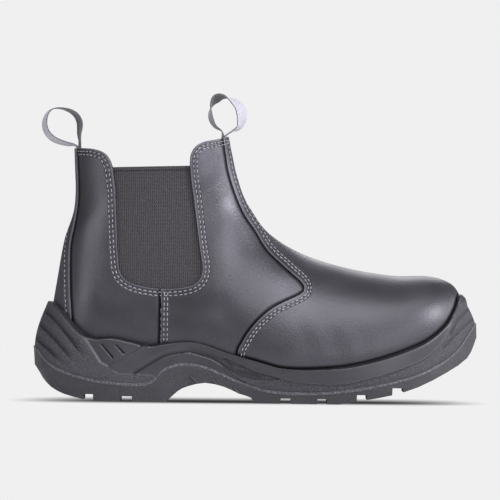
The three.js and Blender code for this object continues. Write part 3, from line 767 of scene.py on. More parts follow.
def bump(tree, height, strength, distance, normal=None):
    made = tree.nodes.new("ShaderNodeBump")
    made.inputs["Strength"].default_value = strength
    made.inputs["Distance"].default_value = distance
    feed(tree, made.inputs["Height"], height)
    feed(tree, made.inputs["Normal"], normal)
    return made.outputs[0]


# Paler colour of the cut edges: wear, and a painted highlight where the edge catches the light
WORN_EDGE_AND_HIGHLIGHT = (0.12, 0.117, 0.14)


def leather_material(name, dark, light, rows=SEAM_ROWS, roughness=0.40):
    """Smooth grain leather: worn cut edges with a painted highlight, sunk seams with painted
    shade, and soft places of painted shade and painted highlights.
    """
    material, tree, shader = new_material(name)
    grain = use_group(tree, GRAIN)
    seam = use_group(tree, SEAM, Edge=attribute(tree, "edge"), Row_1=rows[0], Row_2=rows[1],
                     Neighbour=attribute(tree, "neighbour"))
    patches = ramp(tree, grain["Patches"], 0.3, 0.7)
    colour = mixed(tree, patches, paint(dark), paint(light))
    black = paint(dark, 0.3)
    # Painted shade darkens the leather where this is above 0, and painted highlights lighten it below 0
    painted_light = attribute(tree, "painted_light")
    colour = mixed(tree, ramp(tree, painted_light, 0, 1), colour, black)
    colour = mixed(tree, ramp(tree, painted_light, -1, 0, 1.0, 0.0), colour, paint(light, 2.6))
    pits = ramp(tree, grain["Height"], 0.55, 1.15)
    colour = mixed(tree, maths(tree, "MULTIPLY", pits, 0.25), colour, black)
    # Painted shade in the sunk rows of thread
    colour = mixed(tree, maths(tree, "MULTIPLY", seam["Trough"], 0.4), colour, black)
    # Painted shade in the gap beside the neighbouring panel
    colour = mixed(tree, maths(tree, "MULTIPLY", seam["Crevice"], 0.95), colour, black)
    # Cut edges paler: partly wear, partly a painted highlight
    colour = mixed(tree, maths(tree, "MULTIPLY", seam["Rim"], 0.6), colour, paint(WORN_EDGE_AND_HIGHLIGHT))
    feed(tree, shader.inputs["Base Color"], colour)
    uneven = ramp(tree, grain["Patches"], 0.25, 0.75, roughness - 0.05, roughness + 0.08)
    matt = maths(tree, "ADD", uneven, maths(tree, "MULTIPLY", seam["Crevice"], 0.4))
    # Places of painted shade are also made more matt
    feed(tree, shader.inputs["Roughness"],
         maths(tree, "ADD", matt, ramp(tree, painted_light, 0, 1, 0.0, 0.2)))
    # A metallic black gives back no gloss, so the painted shade in the deep seams stays dark
    feed(tree, shader.inputs["Metallic"], maths(tree, "MULTIPLY", seam["Crevice"], 0.96))
    shader.inputs["Specular Tint"].default_value = (0.95, 0.93, 1.0, 1)
    shader.inputs["Coat Weight"].default_value = 0.08
    shader.inputs["Coat Roughness"].default_value = 0.3
    fine = bump(tree, grain["Height"], 0.5, 0.00022)
    feed(tree, shader.inputs["Normal"], bump(tree, seam["Height"], 0.8, 0.0005, fine))
    return material


def rubber_material(name, shade, grit, depth, roughness):
    """Rubber that is sandy where the mould was, and smooth where the mask says so."""
    material, tree, shader = new_material(name)
    stipple = use_group(tree, STIPPLE, Grit=grit)
    smooth = attribute(tree, "smooth")
    dusty = ramp(tree, stipple["Patches"], 0.45, 0.75)
    colour = mixed(tree, dusty, paint(shade), paint(shade, 1.35))
    tips = maths(tree, "MULTIPLY", ramp(tree, stipple["Height"], 0.45, 0.75),
                 ramp(tree, smooth, 0, 1, 1.0, 0.06))
    colour = mixed(tree, tips, colour, paint(shade, 2.6))
    pits = maths(tree, "MULTIPLY", ramp(tree, stipple["Height"], 0.3, 0.48, 1.0, 0.0),
                 ramp(tree, smooth, 0, 1, 0.8, 0.05))
    dark = paint(shade, 0.3)
    colour = mixed(tree, maths(tree, "MULTIPLY", pits, 0.7), colour, dark)
    # Painted shade in the ribs, grooves and slots: darker colour, and metallic to take away the gloss
    groove_shade = attribute(tree, "groove_shade")
    colour = mixed(tree, maths(tree, "MULTIPLY", groove_shade, 0.85), colour, dark)
    feed(tree, shader.inputs["Base Color"], colour)
    feed(tree, shader.inputs["Metallic"], maths(tree, "MULTIPLY", groove_shade, 0.7))
    feed(tree, shader.inputs["Roughness"], ramp(tree, smooth, 0, 1, roughness, roughness - 0.2))
    rough = maths(tree, "MULTIPLY", stipple["Height"], ramp(tree, smooth, 0, 1, 1.0, 0.1))
    feed(tree, shader.inputs["Normal"], bump(tree, rough, 1.0, depth))
    return material


PITCH_BLACK = (0.004, 0.004, 0.004)
ELASTIC_DARK = (0.007, 0.006, 0.007)
ELASTIC_PALE = (0.045, 0.041, 0.046)
RIB_TURNS = 4300.0  # radians in each metre across the ribs
PICK_TURNS = 2600.0


def elastic_material():
    """Ribbed elastic web, its ribs running up the shaft, with a sewn hem and a painted shadow line
    under it.
    """
    material, tree, shader = new_material("elastic web")
    position = coordinates(tree)
    place_in = add_node(tree, "ShaderNodeSeparateXYZ", position).outputs
    wobble = noise(tree, position, 160, 2)
    across = maths(tree, "ADD", place_in["X"], maths(tree, "MULTIPLY", wobble, 0.0005))
    weave = use_group(tree, WEAVE, Across=across, Along=place_in["Z"], Rib=RIB_TURNS,
                      Pick=PICK_TURNS)
    ribs = maths(tree, "SINE", maths(tree, "MULTIPLY", across, RIB_TURNS))
    fleck = cells(tree, position, 900)
    height = maths(tree, "ADD", maths(tree, "ADD", weave["Height"], ribs),
                   maths(tree, "MULTIPLY", fleck, 1.6))
    mottle = ramp(tree, height, -1.4, 2.6)
    colour = mixed(tree, mottle, paint(ELASTIC_DARK), paint(ELASTIC_PALE))
    # Painted shadow: a black line along the foot of the raised hem
    hem_shadow = maths(tree, "ABSOLUTE", maths(tree, "SUBTRACT", attribute(tree, "hem"), HEM_FOLD))
    colour = mixed(tree, ramp(tree, hem_shadow, 0.0002, 0.0007, 0.95, 0.0), colour, paint(PITCH_BLACK))
    feed(tree, shader.inputs["Base Color"], colour)
    shader.inputs["Roughness"].default_value = 0.85
    shader.inputs["Sheen Weight"].default_value = 0.1
    feed(tree, shader.inputs["Normal"], bump(tree, height, 0.8, 0.0002))
    return material


def tape_material(name, shade):
    """Woven tape, its weave following the tape's own length."""
    material, tree, shader = new_material(name)
    across, along = attribute(tree, "across"), attribute(tree, "along")
    weave = use_group(tree, WEAVE, Across=across, Along=along, Rib=7500.0, Pick=5200.0)
    tone = ramp(tree, weave["Height"], -1, 1)
    colour = mixed(tree, tone, paint(shade, 0.95), paint(shade))
    feed(tree, shader.inputs["Base Color"], colour)
    shader.inputs["Roughness"].default_value = 0.8
    shader.inputs["Sheen Weight"].default_value = 0.2
    feed(tree, shader.inputs["Normal"], bump(tree, weave["Height"], 0.25, 0.00006))
    return material


THREAD_DARK = (0.12, 0.118, 0.128)
THREAD_PALE = (0.43, 0.42, 0.45)


def thread_material():
    material, tree, shader = new_material("waxed thread", 0.6)
    position = coordinates(tree)
    tone = noise(tree, position, 900, 2)
    colour = mixed(tree, tone, paint(THREAD_DARK), paint(THREAD_PALE))
    feed(tree, shader.inputs["Base Color"], colour)
    feed(tree, shader.inputs["Normal"], bump(tree, noise(tree, position, 3000), 0.5, 0.0001))
    return material


def cloth_material(name, shade):
    material, tree, shader = new_material(name, 0.9)
    position = coordinates(tree)
    place_in = add_node(tree, "ShaderNodeSeparateXYZ", position).outputs
    weave = use_group(tree, WEAVE, Across=place_in["X"], Along=place_in["Y"], Rib=5200.0,
                      Pick=5200.0)
    fuzz = noise(tree, position, 260, 3)
    colour = mixed(tree, fuzz, paint(shade), paint(shade, 1.8))
    feed(tree, shader.inputs["Base Color"], colour)
    feed(tree, shader.inputs["Normal"], bump(tree, weave["Height"], 0.4, 0.0002))
    return material


# Needle holes are small black bodies on the leather, painted shade where the holes are
def hole_shade_material():
    material, tree, shader = new_material("needle hole", 0.9)
    tone = noise(tree, coordinates(tree), 700)
    feed(tree, shader.inputs["Base Color"],
         mixed(tree, tone, paint(PITCH_BLACK), paint(PITCH_BLACK, 3)))
    return material


QUARTER_LEATHER = leather_material("quarter leather", (0.024, 0.023, 0.028), (0.036, 0.035, 0.042))
VAMP_LEATHER = leather_material("vamp leather", (0.024, 0.023, 0.028), (0.036, 0.035, 0.042),
                                VAMP_SEAM_ROWS)
STRAP_LEATHER = leather_material("strap leather", (0.028, 0.027, 0.033), (0.040, 0.039, 0.047),
                                 (STRAP_SEAM_ROW, STRAP_SEAM_ROW))
CUP_RUBBER = rubber_material("cup rubber", (0.025, 0.024, 0.029), 1150.0, 0.0008, 0.58)
TREAD_RUBBER = rubber_material("tread rubber", (0.021, 0.020, 0.024), 1100.0, 0.0006, 0.65)
BEAD_RUBBER = rubber_material("bead rubber", (0.055, 0.053, 0.061), 800.0, 0.0010, 0.6)
ELASTIC = elastic_material()
TAPE_OUTSIDE = tape_material("tape outside", (0.080, 0.078, 0.088))
TAPE_INSIDE = tape_material("tape inside", (0.35, 0.345, 0.385))
THREAD = thread_material()
NEEDLE_HOLE_SHADE = hole_shade_material()
LINING_CLOTH = cloth_material("lining cloth", (0.020, 0.020, 0.022))
INSOLE_CLOTH = cloth_material("insole cloth", (0.028, 0.028, 0.030))


# Leather panels of the upper

def crease_relief(points):
    """Soft troughs with a low ridge on both sides of each crease."""
    result = np.zeros(len(points))
    for rows, width, depth in CREASE_ROWS:
        near = line_distance(points, curve(rows)) / width
        result -= depth * (1 - near ** 2) * np.exp(-near ** 2)
    return result


def painted_light_and_shade(points):
    """Painted shade on the leather up to 1, and painted highlights down to -1."""
    result = np.zeros(len(points))
    for along, rise, wide, high, depth in PAINTED_LIGHT_ROWS:
        x, z = place(along, rise)
        near = ((points[:, 0] - x) / wide) ** 2 + ((points[:, 1] - z) / high) ** 2
        result += depth * np.exp(-near)
    return np.clip(result, -1, 1)


def leather_panel(name, lap, cuts, edges, neighbours, material):
    """One panel of leather: cuts name areas to keep (+1) or to take away (-1)."""
    flat = LAST.reshape(-1, 3)[:, [0, 2]]
    relief = crease_relief(flat).reshape(LAST.shape[:2])
    bm = grid_mesh(last_at(lap + relief))
    for polygon, keep in cuts:
        score(bm, polygon, keep=keep)
    score(bm, above(COLLAR), keep=-1)
    score(bm, above(CUP_LINE), keep=1)
    points = side_view(bm)
    mark(bm, "edge", np.min([line_distance(points, line) for line in edges], axis=0))
    # Distance to the neighbour's edge, where the material paints shade in the gap
    far = np.ones(len(points))
    gaps = [far] + [line_distance(points, line) for line in neighbours]
    mark(bm, "neighbour", np.min(gaps, axis=0))
    # Painted shade and painted highlights of the leather, for its material
    mark(bm, "painted_light", painted_light_and_shade(points))
    tree = BVHTree.FromBMesh(bm)
    piece = finish(bm, name, [material], "upper")
    thicken(piece, PANEL_WALL)
    soften(piece, PANEL_ROUND)
    return tree


def make_panels():
    """The four leather panels in the order in which they lap, each with its surface for rays."""
    rear = leather_panel(
        "rear_quarter", 0.0,
        [(forward_of(SIDE_SEAM_X + PANEL_TUCK), -1), (strap_area(-PANEL_TUCK), -1)],
        [COLLAR], [STRAP_EDGE, SIDE_SEAM], QUARTER_LEATHER)
    front = leather_panel(
        "front_quarter", QUARTER_LAP,
        [(forward_of(SIDE_SEAM_X), 1), (vamp_area(-PANEL_TUCK), -1)],
        [COLLAR, SIDE_SEAM], [VAMP_EDGE], QUARTER_LEATHER)
    strap = leather_panel(
        "back_strap", STRAP_LAP, [(strap_area(), 1)], [COLLAR, STRAP_EDGE], [], STRAP_LEATHER)
    vamp = leather_panel(
        "vamp", VAMP_LAP, [(vamp_area(), 1)], [COLLAR, VAMP_EDGE], [RIM], VAMP_LEATHER)
    return rear, front, strap, vamp


def make_lining():
    bm = grid_mesh(last_at(LINING_GAP - LEATHER)[::2, ::2])
    score(bm, above(COLLAR - (0, LINING_DROP)), keep=-1)
    score(bm, above(CUP_LINE), keep=1)
    piece = finish(bm, "lining", [LINING_CLOTH], "upper")
    thicken(piece, LINING_WALL)


# Elastic gores

def make_gore(name, node, side):
    """The elastic of one side, -1 for the outer and 1 for the inner one."""
    bm = grid_mesh(last_at(-LEATHER - FIT_GAP))
    inner = [vert for vert in bm.verts if vert.co.y * side < 0]
    bmesh.ops.delete(bm, geom=inner, context="VERTS")
    opening = curve(OPENING)
    ends = [opening[0] + (0, SHAFT_RISE), opening[-1] + (0, SHAFT_RISE)]
    outline = widened(area(ends[0], opening, ends[1]), GORE_TUCK)
    score(bm, outline, keep=1)
    top = np.array([place(*row) for row in GORE_TOP])
    score(bm, below(top), keep=1)
    points = side_view(bm)
    from_top = line_distance(points, top)
    hem = np.clip(1 - np.abs(from_top - HEM_HALF) / HEM_HALF, 0, 1)
    mark(bm, "hem", from_top)
    bm.normal_update()
    for vert, raised in zip(bm.verts, hem.tolist()):
        vert.co += vert.normal * HEM_PROUD * raised
    piece = finish(bm, name, [ELASTIC], node)
    thicken(piece, GORE_THICKNESS)
    soften(piece, GORE_ROUND)


# Stitches

def laid_points(line, trees, side, pitch):
    """Places of stitches along a side view line laid on the leather of one side."""
    step = np.concatenate([[0], np.cumsum(np.hypot(*np.diff(line, axis=0).T))])
    fine = np.arange(0, step[-1], SEARCH_STEP)
    xs, zs = np.interp(fine, step, line[:, 0]), np.interp(fine, step, line[:, 1])
    runs = [[]]
    for x, z in zip(xs, zs):
        hits = [tree.ray_cast(Vector((x, side, z)), Vector((0, -side, 0))) for tree in trees]
        hits = [hit for hit in hits if hit[0] and hit[0].y * side > 0]
        best = min(hits, key=lambda hit: hit[3]) if hits else None
        if best and abs(best[1].y) > STEEP:
            runs[-1].append((best[0], best[1]))
        elif runs[-1]:
            runs.append([])
    laid = []
    for run in runs:
        walked = 0.0
        for (point, normal), (after, _) in zip(run, run[1:]):
            walked += (after - point).length
            if walked >= pitch:
                walked -= pitch
                laid.append((point, normal, (after - point).normalized()))
    return laid


def lay_beads(bm, laid, size, shift=0.0):
    """Small rounded bodies of size length, width and height along a row."""
    row = bmesh.new()
    for point, normal, along in laid:
        across = normal.cross(along).normalized()
        up = along.cross(across)
        turn = Matrix((along, across, up)).transposed().to_4x4()
        spot = Matrix.Translation(point + along * shift)
        scale = Matrix.Diagonal((*size, 1))
        bmesh.ops.create_uvsphere(row, u_segments=6, v_segments=4, radius=0.5,
                                  matrix=spot @ turn @ scale)
    mesh = bpy.data.meshes.new("row")
    row.to_mesh(mesh)
    row.free()
    bm.from_mesh(mesh)
    bpy.data.meshes.remove(mesh)


def make_stitches(trees):
    """Rows of thread beside the edges of the leather, and small black bodies between them as
    painted shade of the needle holes.
    """
    _, front, strap, vamp = trees
    rows = []
    for distance in SEAM_ROWS:
        rows.append((widened(COLLAR, distance), trees))
        rows.append((widened(SIDE_SEAM, -distance), [front]))
    for distance in VAMP_SEAM_ROWS:
        rows.append((widened(VAMP_EDGE, -distance), [vamp]))
    rows.append((widened(STRAP_EDGE, STRAP_SEAM_ROW), [strap]))
    thread, hole_shades = bmesh.new(), bmesh.new()
    for side in (-1, 1):
        for line, panels in rows:
            laid = laid_points(line, panels, side, STITCH_PITCH)
            lay_beads(thread, laid, (STITCH_LENGTH, STITCH_WIDTH, STITCH_HEIGHT))
            # Painted shade of the needle holes, between the stitches
            lay_beads(hole_shades, laid, NEEDLE_HOLE_SIZE, shift=STITCH_PITCH / 2)
    finish(thread, "stitches", [THREAD], "upper")
    finish(hole_shades, "needle_hole_shades", [NEEDLE_HOLE_SHADE], "upper")


# Pull tapes

def make_tape(name, node, rows, collar_line, inward):
    """A folded pull tape, where inward is the side on which the inside of the collar lies."""
    top, low = [np.array(place(*row)) for row in collar_line]
    down = (low - top) / np.linalg.norm(low - top)
    inside = np.array([-down[1], down[0]]) * inward
    bow = TAPE_WIDTH ** 2 / (8 * COLLAR_BEND * COLLAR_WIDTH)

    def leg(layer, depth):
        """A row of the path where an end of the tape is sewn inside the collar."""
        distance = TAPE_SEAT + layer * (TAPE_THICKNESS + FIT_GAP)
        return [*(top + inside * distance + down * depth), 0, bow]

    def directions(k):
        """Directions along, across and through the tape at one step."""
        ahead = fine[min(k + 1, len(fine) - 1)] - fine[max(k - 1, 0)]
        along = Vector((ahead[0], 0, ahead[1])).normalized()
        wide = Matrix.Rotation(fine[k][2], 3, along) @ Vector((0, 1, 0))
        return along, wide, along.cross(wide)

    free = [[*place(along, rise), math.radians(tilt), 0] for along, rise, tilt in rows]
    path = np.array([leg(0, TAPE_TUCK), leg(0, TAPE_TUCK / 2), leg(0, 0), *free,
                     leg(1, 0), leg(1, TAPE_TUCK / 2), leg(1, TAPE_TUCK)])
    fine = smoothed(path)
    run = np.concatenate([[0], np.cumsum(np.hypot(*np.diff(fine[:, :2], axis=0).T))])
    turning = np.diff(path[:, 0], append=path[0, 0]) * (path[:, 1] + np.roll(path[:, 1], -1))
    outer_face = -1 if turning.sum() > 0 else 1
    edge = TAPE_THICKNESS / 2
    sides = np.linspace(-1, 1, TAPE_STEPS + 1)
    section = [(side, -1) for side in sides] + [(side, 1) for side in sides[::-1]]
    bm = bmesh.new()
    across_layer = bm.verts.layers.float.new("across")
    along_layer = bm.verts.layers.float.new("along")
    ring, before = [], None
    for k, (x, z, _, curl) in enumerate(fine):
        _, wide, thick = directions(k)
        bowed = Vector((inside[0], 0, inside[1])) * curl
        if before is None:
            ring = bmesh.ops.create_circle(bm, cap_ends=False, segments=len(section), radius=1)["verts"]
        else:
            made = bmesh.ops.extrude_edge_only(bm, edges=before)["geom"]
            ring = [item for item in made if isinstance(item, bmesh.types.BMVert)]
        for vert, (side, face) in zip(ring, section):
            vert.co = (Vector((x, 0, z)) + wide * (side * TAPE_WIDTH / 2) + thick * (face * edge)
                       + bowed * side ** 2)
            vert[across_layer] = side * TAPE_WIDTH / 2
            vert[along_layer] = run[k]
        before = [bm.edges.get((ring[j], ring[(j + 1) % len(ring)])) for j in range(len(ring))]
    bmesh.ops.holes_fill(bm, edges=[e for e in bm.edges if e.is_boundary], sides=0)
    bmesh.ops.recalc_face_normals(bm, faces=bm.faces[:])
    for face in bm.faces:
        middle = face.calc_center_median()
        nearest = int(np.argmin(np.hypot(fine[:, 0] - middle.x, fine[:, 1] - middle.z)))
        facing = face.normal.dot(directions(nearest)[2]) * outer_face
        face.material_index = 1 if facing < -0.3 else 0
    piece = finish(bm, name, [TAPE_OUTSIDE, TAPE_INSIDE], node)
    soften(piece, TAPE_ROUND)


# Cup and tread of the sole

def sole_grid(proud=0.0):
    """Rings of points round the sole from the floor up, moved out by a distance."""
    outline = np.array([
        [math.acos(1 - 2 * along), half * follows, swing * TOE_SWING]
        for along, follows, half, swing in OUTLINE_ROWS])

    def outline_at(angle):
        start = min(int(np.searchsorted(outline[:, 0], angle, side="right")) - 1, len(outline) - 2)
        share = (angle - outline[start, 0]) / (outline[start + 1, 0] - outline[start, 0])
        return blend(outline, start + share)

    tries = np.linspace(0, math.pi, RUN_POINTS)
    seen = np.array([outline_at(angle) for angle in tries])
    x = SOLE_LENGTH * (1 - np.cos(tries)) / 2
    run = np.concatenate([[0], np.cumsum(np.hypot(np.diff(x), np.diff(seen[:, 1])))])
    angles = np.interp(np.linspace(0, run[-1], SOLE_AROUND + 1), run, tries)
    halves, swings = np.array([outline_at(angle)[1:] for angle in angles]).T
    share = (1 - np.cos(angles)) / 2
    levels = np.array(LEVEL_ROWS)
    places = np.interp(np.linspace(levels[0, 0], levels[-1, 0], SOLE_LEVELS + 1),
                       levels[:, 0], np.arange(len(levels)))
    rings = []
    for at in places:
        rise, back, front, spread = blend(levels, at)
        from_x, z = place(back, rise)
        to_x = place(front, rise)[0]
        x = from_x + (to_x - from_x) * share
        outer = np.stack([x, swings - halves * spread, np.full_like(x, z)], axis=1)
        inner = np.stack([x, swings + halves * spread, np.full_like(x, z)], axis=1)
        rings.append(np.concatenate([outer, inner[-2:0:-1]]))
    grid = np.array(rings)
    return grid + grid_normals(grid) * proud


def step_in(depth, width=0.0010):
    """Share of a recess reached at a depth inside its outline, with a soft fillet."""
    share = np.clip(depth / width, 0, 1)
    return share * share * (3 - 2 * share)


def shingle(points, rows, reach, taper):
    """A slope that sinks towards a line from above and steps out again under it."""
    line = curve(rows)
    offset = line_offset(points, line)
    share = np.clip(1 - offset / reach, 0, 1) ** 1.3 * step_in(offset + 0.0002, 0.0007)
    return share * np.clip(np.hypot(*(points - line[-1]).T) / taper, 0, 1)


def groove_shade_mask(points):
    """Painted shade in the ribs, grooves and slots of the cup and under its rim, from 0 to 1."""
    result = np.zeros(len(points))
    for rows in HEEL_RIB_ROWS:
        result = np.maximum(result, shingle(points, rows, 0.0045, 0.012))
    for rows in TOE_RIB_ROWS:
        result = np.maximum(result, 0.6 * shingle(points, rows, 0.0030, 0.004))
    result = np.maximum(result, shingle(points, ARCH_GROOVE_ROWS, 0.0030, 0.006))
    for rows in SLOT_ROWS:
        near = line_distance(points, curve(rows))
        result = np.maximum(result, step_in(RIB_WIDTH / 2 + 0.0003 - near))
    rim = step_in(0.0012 - depth_inside(points, below(RIM)), 0.0008)
    return np.maximum(result, 0.7 * rim)


def cup_relief(points, facing):
    """How far the side of the cup is set back, where facing tells how far it faces sideways."""
    band_line = curve(BAND_ROWS)
    band = area(band_line, (RIGHT, band_line[-1, 1]), (RIGHT, -ROOM), (band_line[0, 0], -ROOM))
    fade = 1 - step_in(points[:, 0] - place(0.86, 0)[0], 0.03)
    depth = BAND_DEPTH * step_in(depth_inside(points, band), 0.0014) * fade
    leaf = depth_inside(points, curve(LEAF_ROWS))
    depth = np.maximum(depth, (BAND_DEPTH + PANEL_DEPTH) * step_in(leaf))
    panel = depth_inside(points, np.array([place(*row) for row in PANEL_ROWS]))
    depth = np.maximum(depth, PANEL_DEPTH * step_in(panel, 0.0016))
    for rows in SLOT_ROWS:
        near = line_distance(points, curve(rows))
        depth = np.maximum(depth, SLOT_DEPTH * step_in(RIB_WIDTH / 2 + 0.0004 - near))
    for rows in HEEL_RIB_ROWS:
        depth = np.maximum(depth, 2 * RIB_DEPTH * shingle(points, rows, 0.0060, 0.012) * facing)
    for rows in TOE_RIB_ROWS:
        depth = np.maximum(depth, RIB_DEPTH * shingle(points, rows, 0.0035, 0.004) * facing)
    depth = np.maximum(depth, 1.2 * RIB_DEPTH * shingle(points, ARCH_GROOVE_ROWS, 0.0045, 0.006))
    under_rim = depth_inside(points, below(RIM))
    lip = np.clip(1 - under_rim / RIM_ROUND, 0, 1)
    return depth + RIM_ROUND * (1 - np.sqrt(1 - lip ** 2))


def smooth_mask(points):
    """Where the rubber of the cup is smooth and not stippled."""
    panel = depth_inside(points, np.array([place(*row) for row in PANEL_ROWS]))
    swoosh = area(*[place(*row) for row in SMOOTH_START], curve(BAND_ROWS)[::-1],
                  *[place(*row) for row in SMOOTH_END])
    return step_in(np.maximum(panel, depth_inside(points, swoosh)) + 0.0004, 0.0008)


def lap_at(points):
    """How far the outermost leather lies over the rear quarter at side view points."""
    lap = np.where(points[:, 0] > SIDE_SEAM_X, QUARTER_LAP, 0.0)
    lap = np.where(depth_inside(points, strap_area()) > 0, STRAP_LAP, lap)
    return np.where(depth_inside(points, vamp_area()) > 0, VAMP_LAP, lap)


def new_ring(bm, edges):
    """Extrudes a loop of edges and returns its new points and edges."""
    made = bmesh.ops.extrude_edge_only(bm, edges=edges)["geom"]
    verts = [item for item in made if isinstance(item, bmesh.types.BMVert)]
    fresh = set(verts)
    loop = [item for item in made if isinstance(item, bmesh.types.BMEdge)
            and all(vert in fresh for vert in item.verts)]
    return verts, loop


def make_cup():
    """The rubber cup: its outer side with relief, and a wall that follows the leather inside."""
    grid = sole_grid()
    over_leather = surface_tree(last_at(CUP_WALL))
    pushed = grid.copy()
    for row, column in np.argwhere(grid[..., 2] > PUSHED_ABOVE):
        point = Vector(grid[row, column])
        near, normal = over_leather.find_nearest(point)[:2]
        if (point - near).dot(normal) < 0:
            pushed[row, column] = near
    normals = grid_normals(pushed)
    facing = np.abs(normals[..., 1]).reshape(-1)
    depth = cup_relief(pushed.reshape(-1, 3)[:, [0, 2]], facing).reshape(pushed.shape[:2])
    bm = grid_mesh(pushed - normals * depth[..., None])
    score(bm, below(RIM), keep=1)
    score(bm, above(PARTING + (0, FIT_GAP / 2)), keep=1)
    mark(bm, "smooth", smooth_mask(side_view(bm)))
    # Painted shade of the ribs, grooves, slots and the gap under the rim, for the material
    mark(bm, "groove_shade", groove_shade_mask(side_view(bm)))
    edges = [edge for edge in bm.edges if edge.is_boundary]
    middles = np.array([(e.verts[0].co + e.verts[1].co).xz for e in edges]) / 2
    at_rim = line_distance(middles, RIM) < line_distance(middles, PARTING)
    loop = [edge for edge, upper in zip(edges, at_rim) if upper]
    parting_loop = [edge for edge, upper in zip(edges, at_rim) if not upper]
    leather = surface_tree(last_at(0.0))
    for drop in (0.0, CUP_TUCK / 3, CUP_TUCK / 3, CUP_TUCK / 3):
        verts, loop = new_ring(bm, loop)
        laps = lap_at(np.array([(vert.co.x, vert.co.z) for vert in verts])) + RIM_GAP
        for vert, lap in zip(verts, laps):
            near, normal = leather.find_nearest(vert.co - Vector((0, 0, drop)))[:2]
            vert.co = near + normal * lap
    bmesh.ops.bridge_loops(bm, edges=loop + parting_loop)
    bmesh.ops.recalc_face_normals(bm, faces=bm.faces[:])
    finish(bm, "cup", [CUP_RUBBER], "midsole", sharp=50)


def make_parting_band():
    """The rough raised line of rubber where cup and tread meet."""
    bm = grid_mesh(sole_grid(BEAD_PROUD))
    score(bm, below(PARTING + (0, BEAD_HALF)), keep=1)
    score(bm, above(PARTING - (0, BEAD_HALF)), keep=1)
    mark(bm, "smooth", np.zeros(len(bm.verts)))
    piece = finish(bm, "parting_bead", [BEAD_RUBBER], "midsole")
    thicken(piece, BEAD_WALL)
    soften(piece, RUBBER_ROUND)


def make_tread():
    """The outsole keeps the form of its solid, with softened edges."""
    bm = bmesh.new()
    bm.from_mesh(bpy.data.objects["outsole"].data)
    bmesh.ops.remove_doubles(bm, verts=bm.verts[:], dist=SAME_PLACE)
    bmesh.ops.dissolve_limit(bm, angle_limit=math.radians(1), verts=bm.verts[:], edges=bm.edges[:])
    mark(bm, "smooth", np.full(len(bm.verts), 0.5))
    tree = BVHTree.FromBMesh(bm)
    piece = finish(bm, "tread", [TREAD_RUBBER], "outsole", sharp=TREAD_SHARP)
    soften(piece, RUBBER_ROUND, angle=TREAD_SHARP)
    return tree


def make_arch_ridges(tread_tree):
    """Short slanting ridges on both sides of the tread under the arch."""
    bm = bmesh.new()
    for rows in ARCH_RIDGE_ROWS:
        for side in (-1, 1):
            laid = laid_points(curve(rows), [tread_tree], side, RIDGE_STEP)
            ring = []
            for point, normal, along in laid:
                across = normal.cross(along).normalized()
                if ring:
                    ring, edges = new_ring(bm, edges)
                else:
                    ring = bmesh.ops.create_circle(
                        bm, cap_ends=True, segments=RIDGE_SIDES, radius=1)["verts"]
                    edges = bm.edges[-RIDGE_SIDES:]
                for k, vert in enumerate(ring):
                    turn = math.tau * k / RIDGE_SIDES
                    vert.co = (point + across * (RIDGE_WIDTH / 2 * math.cos(turn))
                               + normal * (RIDGE_HEIGHT * math.sin(turn)))
    bmesh.ops.holes_fill(bm, edges=[e for e in bm.edges if e.is_boundary], sides=0)
    bmesh.ops.recalc_face_normals(bm, faces=bm.faces[:])
    mark(bm, "smooth", np.full(len(bm.verts), 0.5))
    finish(bm, "arch_ridges", [TREAD_RUBBER], "outsole")


# Stage, lights and camera

BACKGROUND = (0.87, 0.87, 0.87)
PAPER = (0.80, 0.80, 0.80)
AMBIENT = 0.17
LIGHT_DISTANCE = 1.5
COOL_WHITE = (0.965, 0.955, 1.0)
MIDDLE = Vector((0.1, 0.0, 0.1))
LIGHTS = [
    # name, degrees to the right of the camera, degrees up, size, power in watts
    ("key", 9, 53, 1.05, 20),
    ("low right", 28, 11, 0.6, 5.5),
    ("toe side", 64, 27, 0.4, 15),
    ("far right", 100, 15, 0.9, 11),
    ("heel side", -58, 13, 0.8, 8),
    ("behind", 180, 31, 0.8, 6),
]
SHADE_LEAN = 0.4  # how much further behind the boot the shade lies towards the toe
SHADE_BEHIND = 0.55  # it fades more slowly behind the boot than in front of it
SHADE_CENTRE = (0.095, 0.02)  # darkest place on the floor
SHADE_REACH = (0.170, 0.16)  # along the boot and in front of it


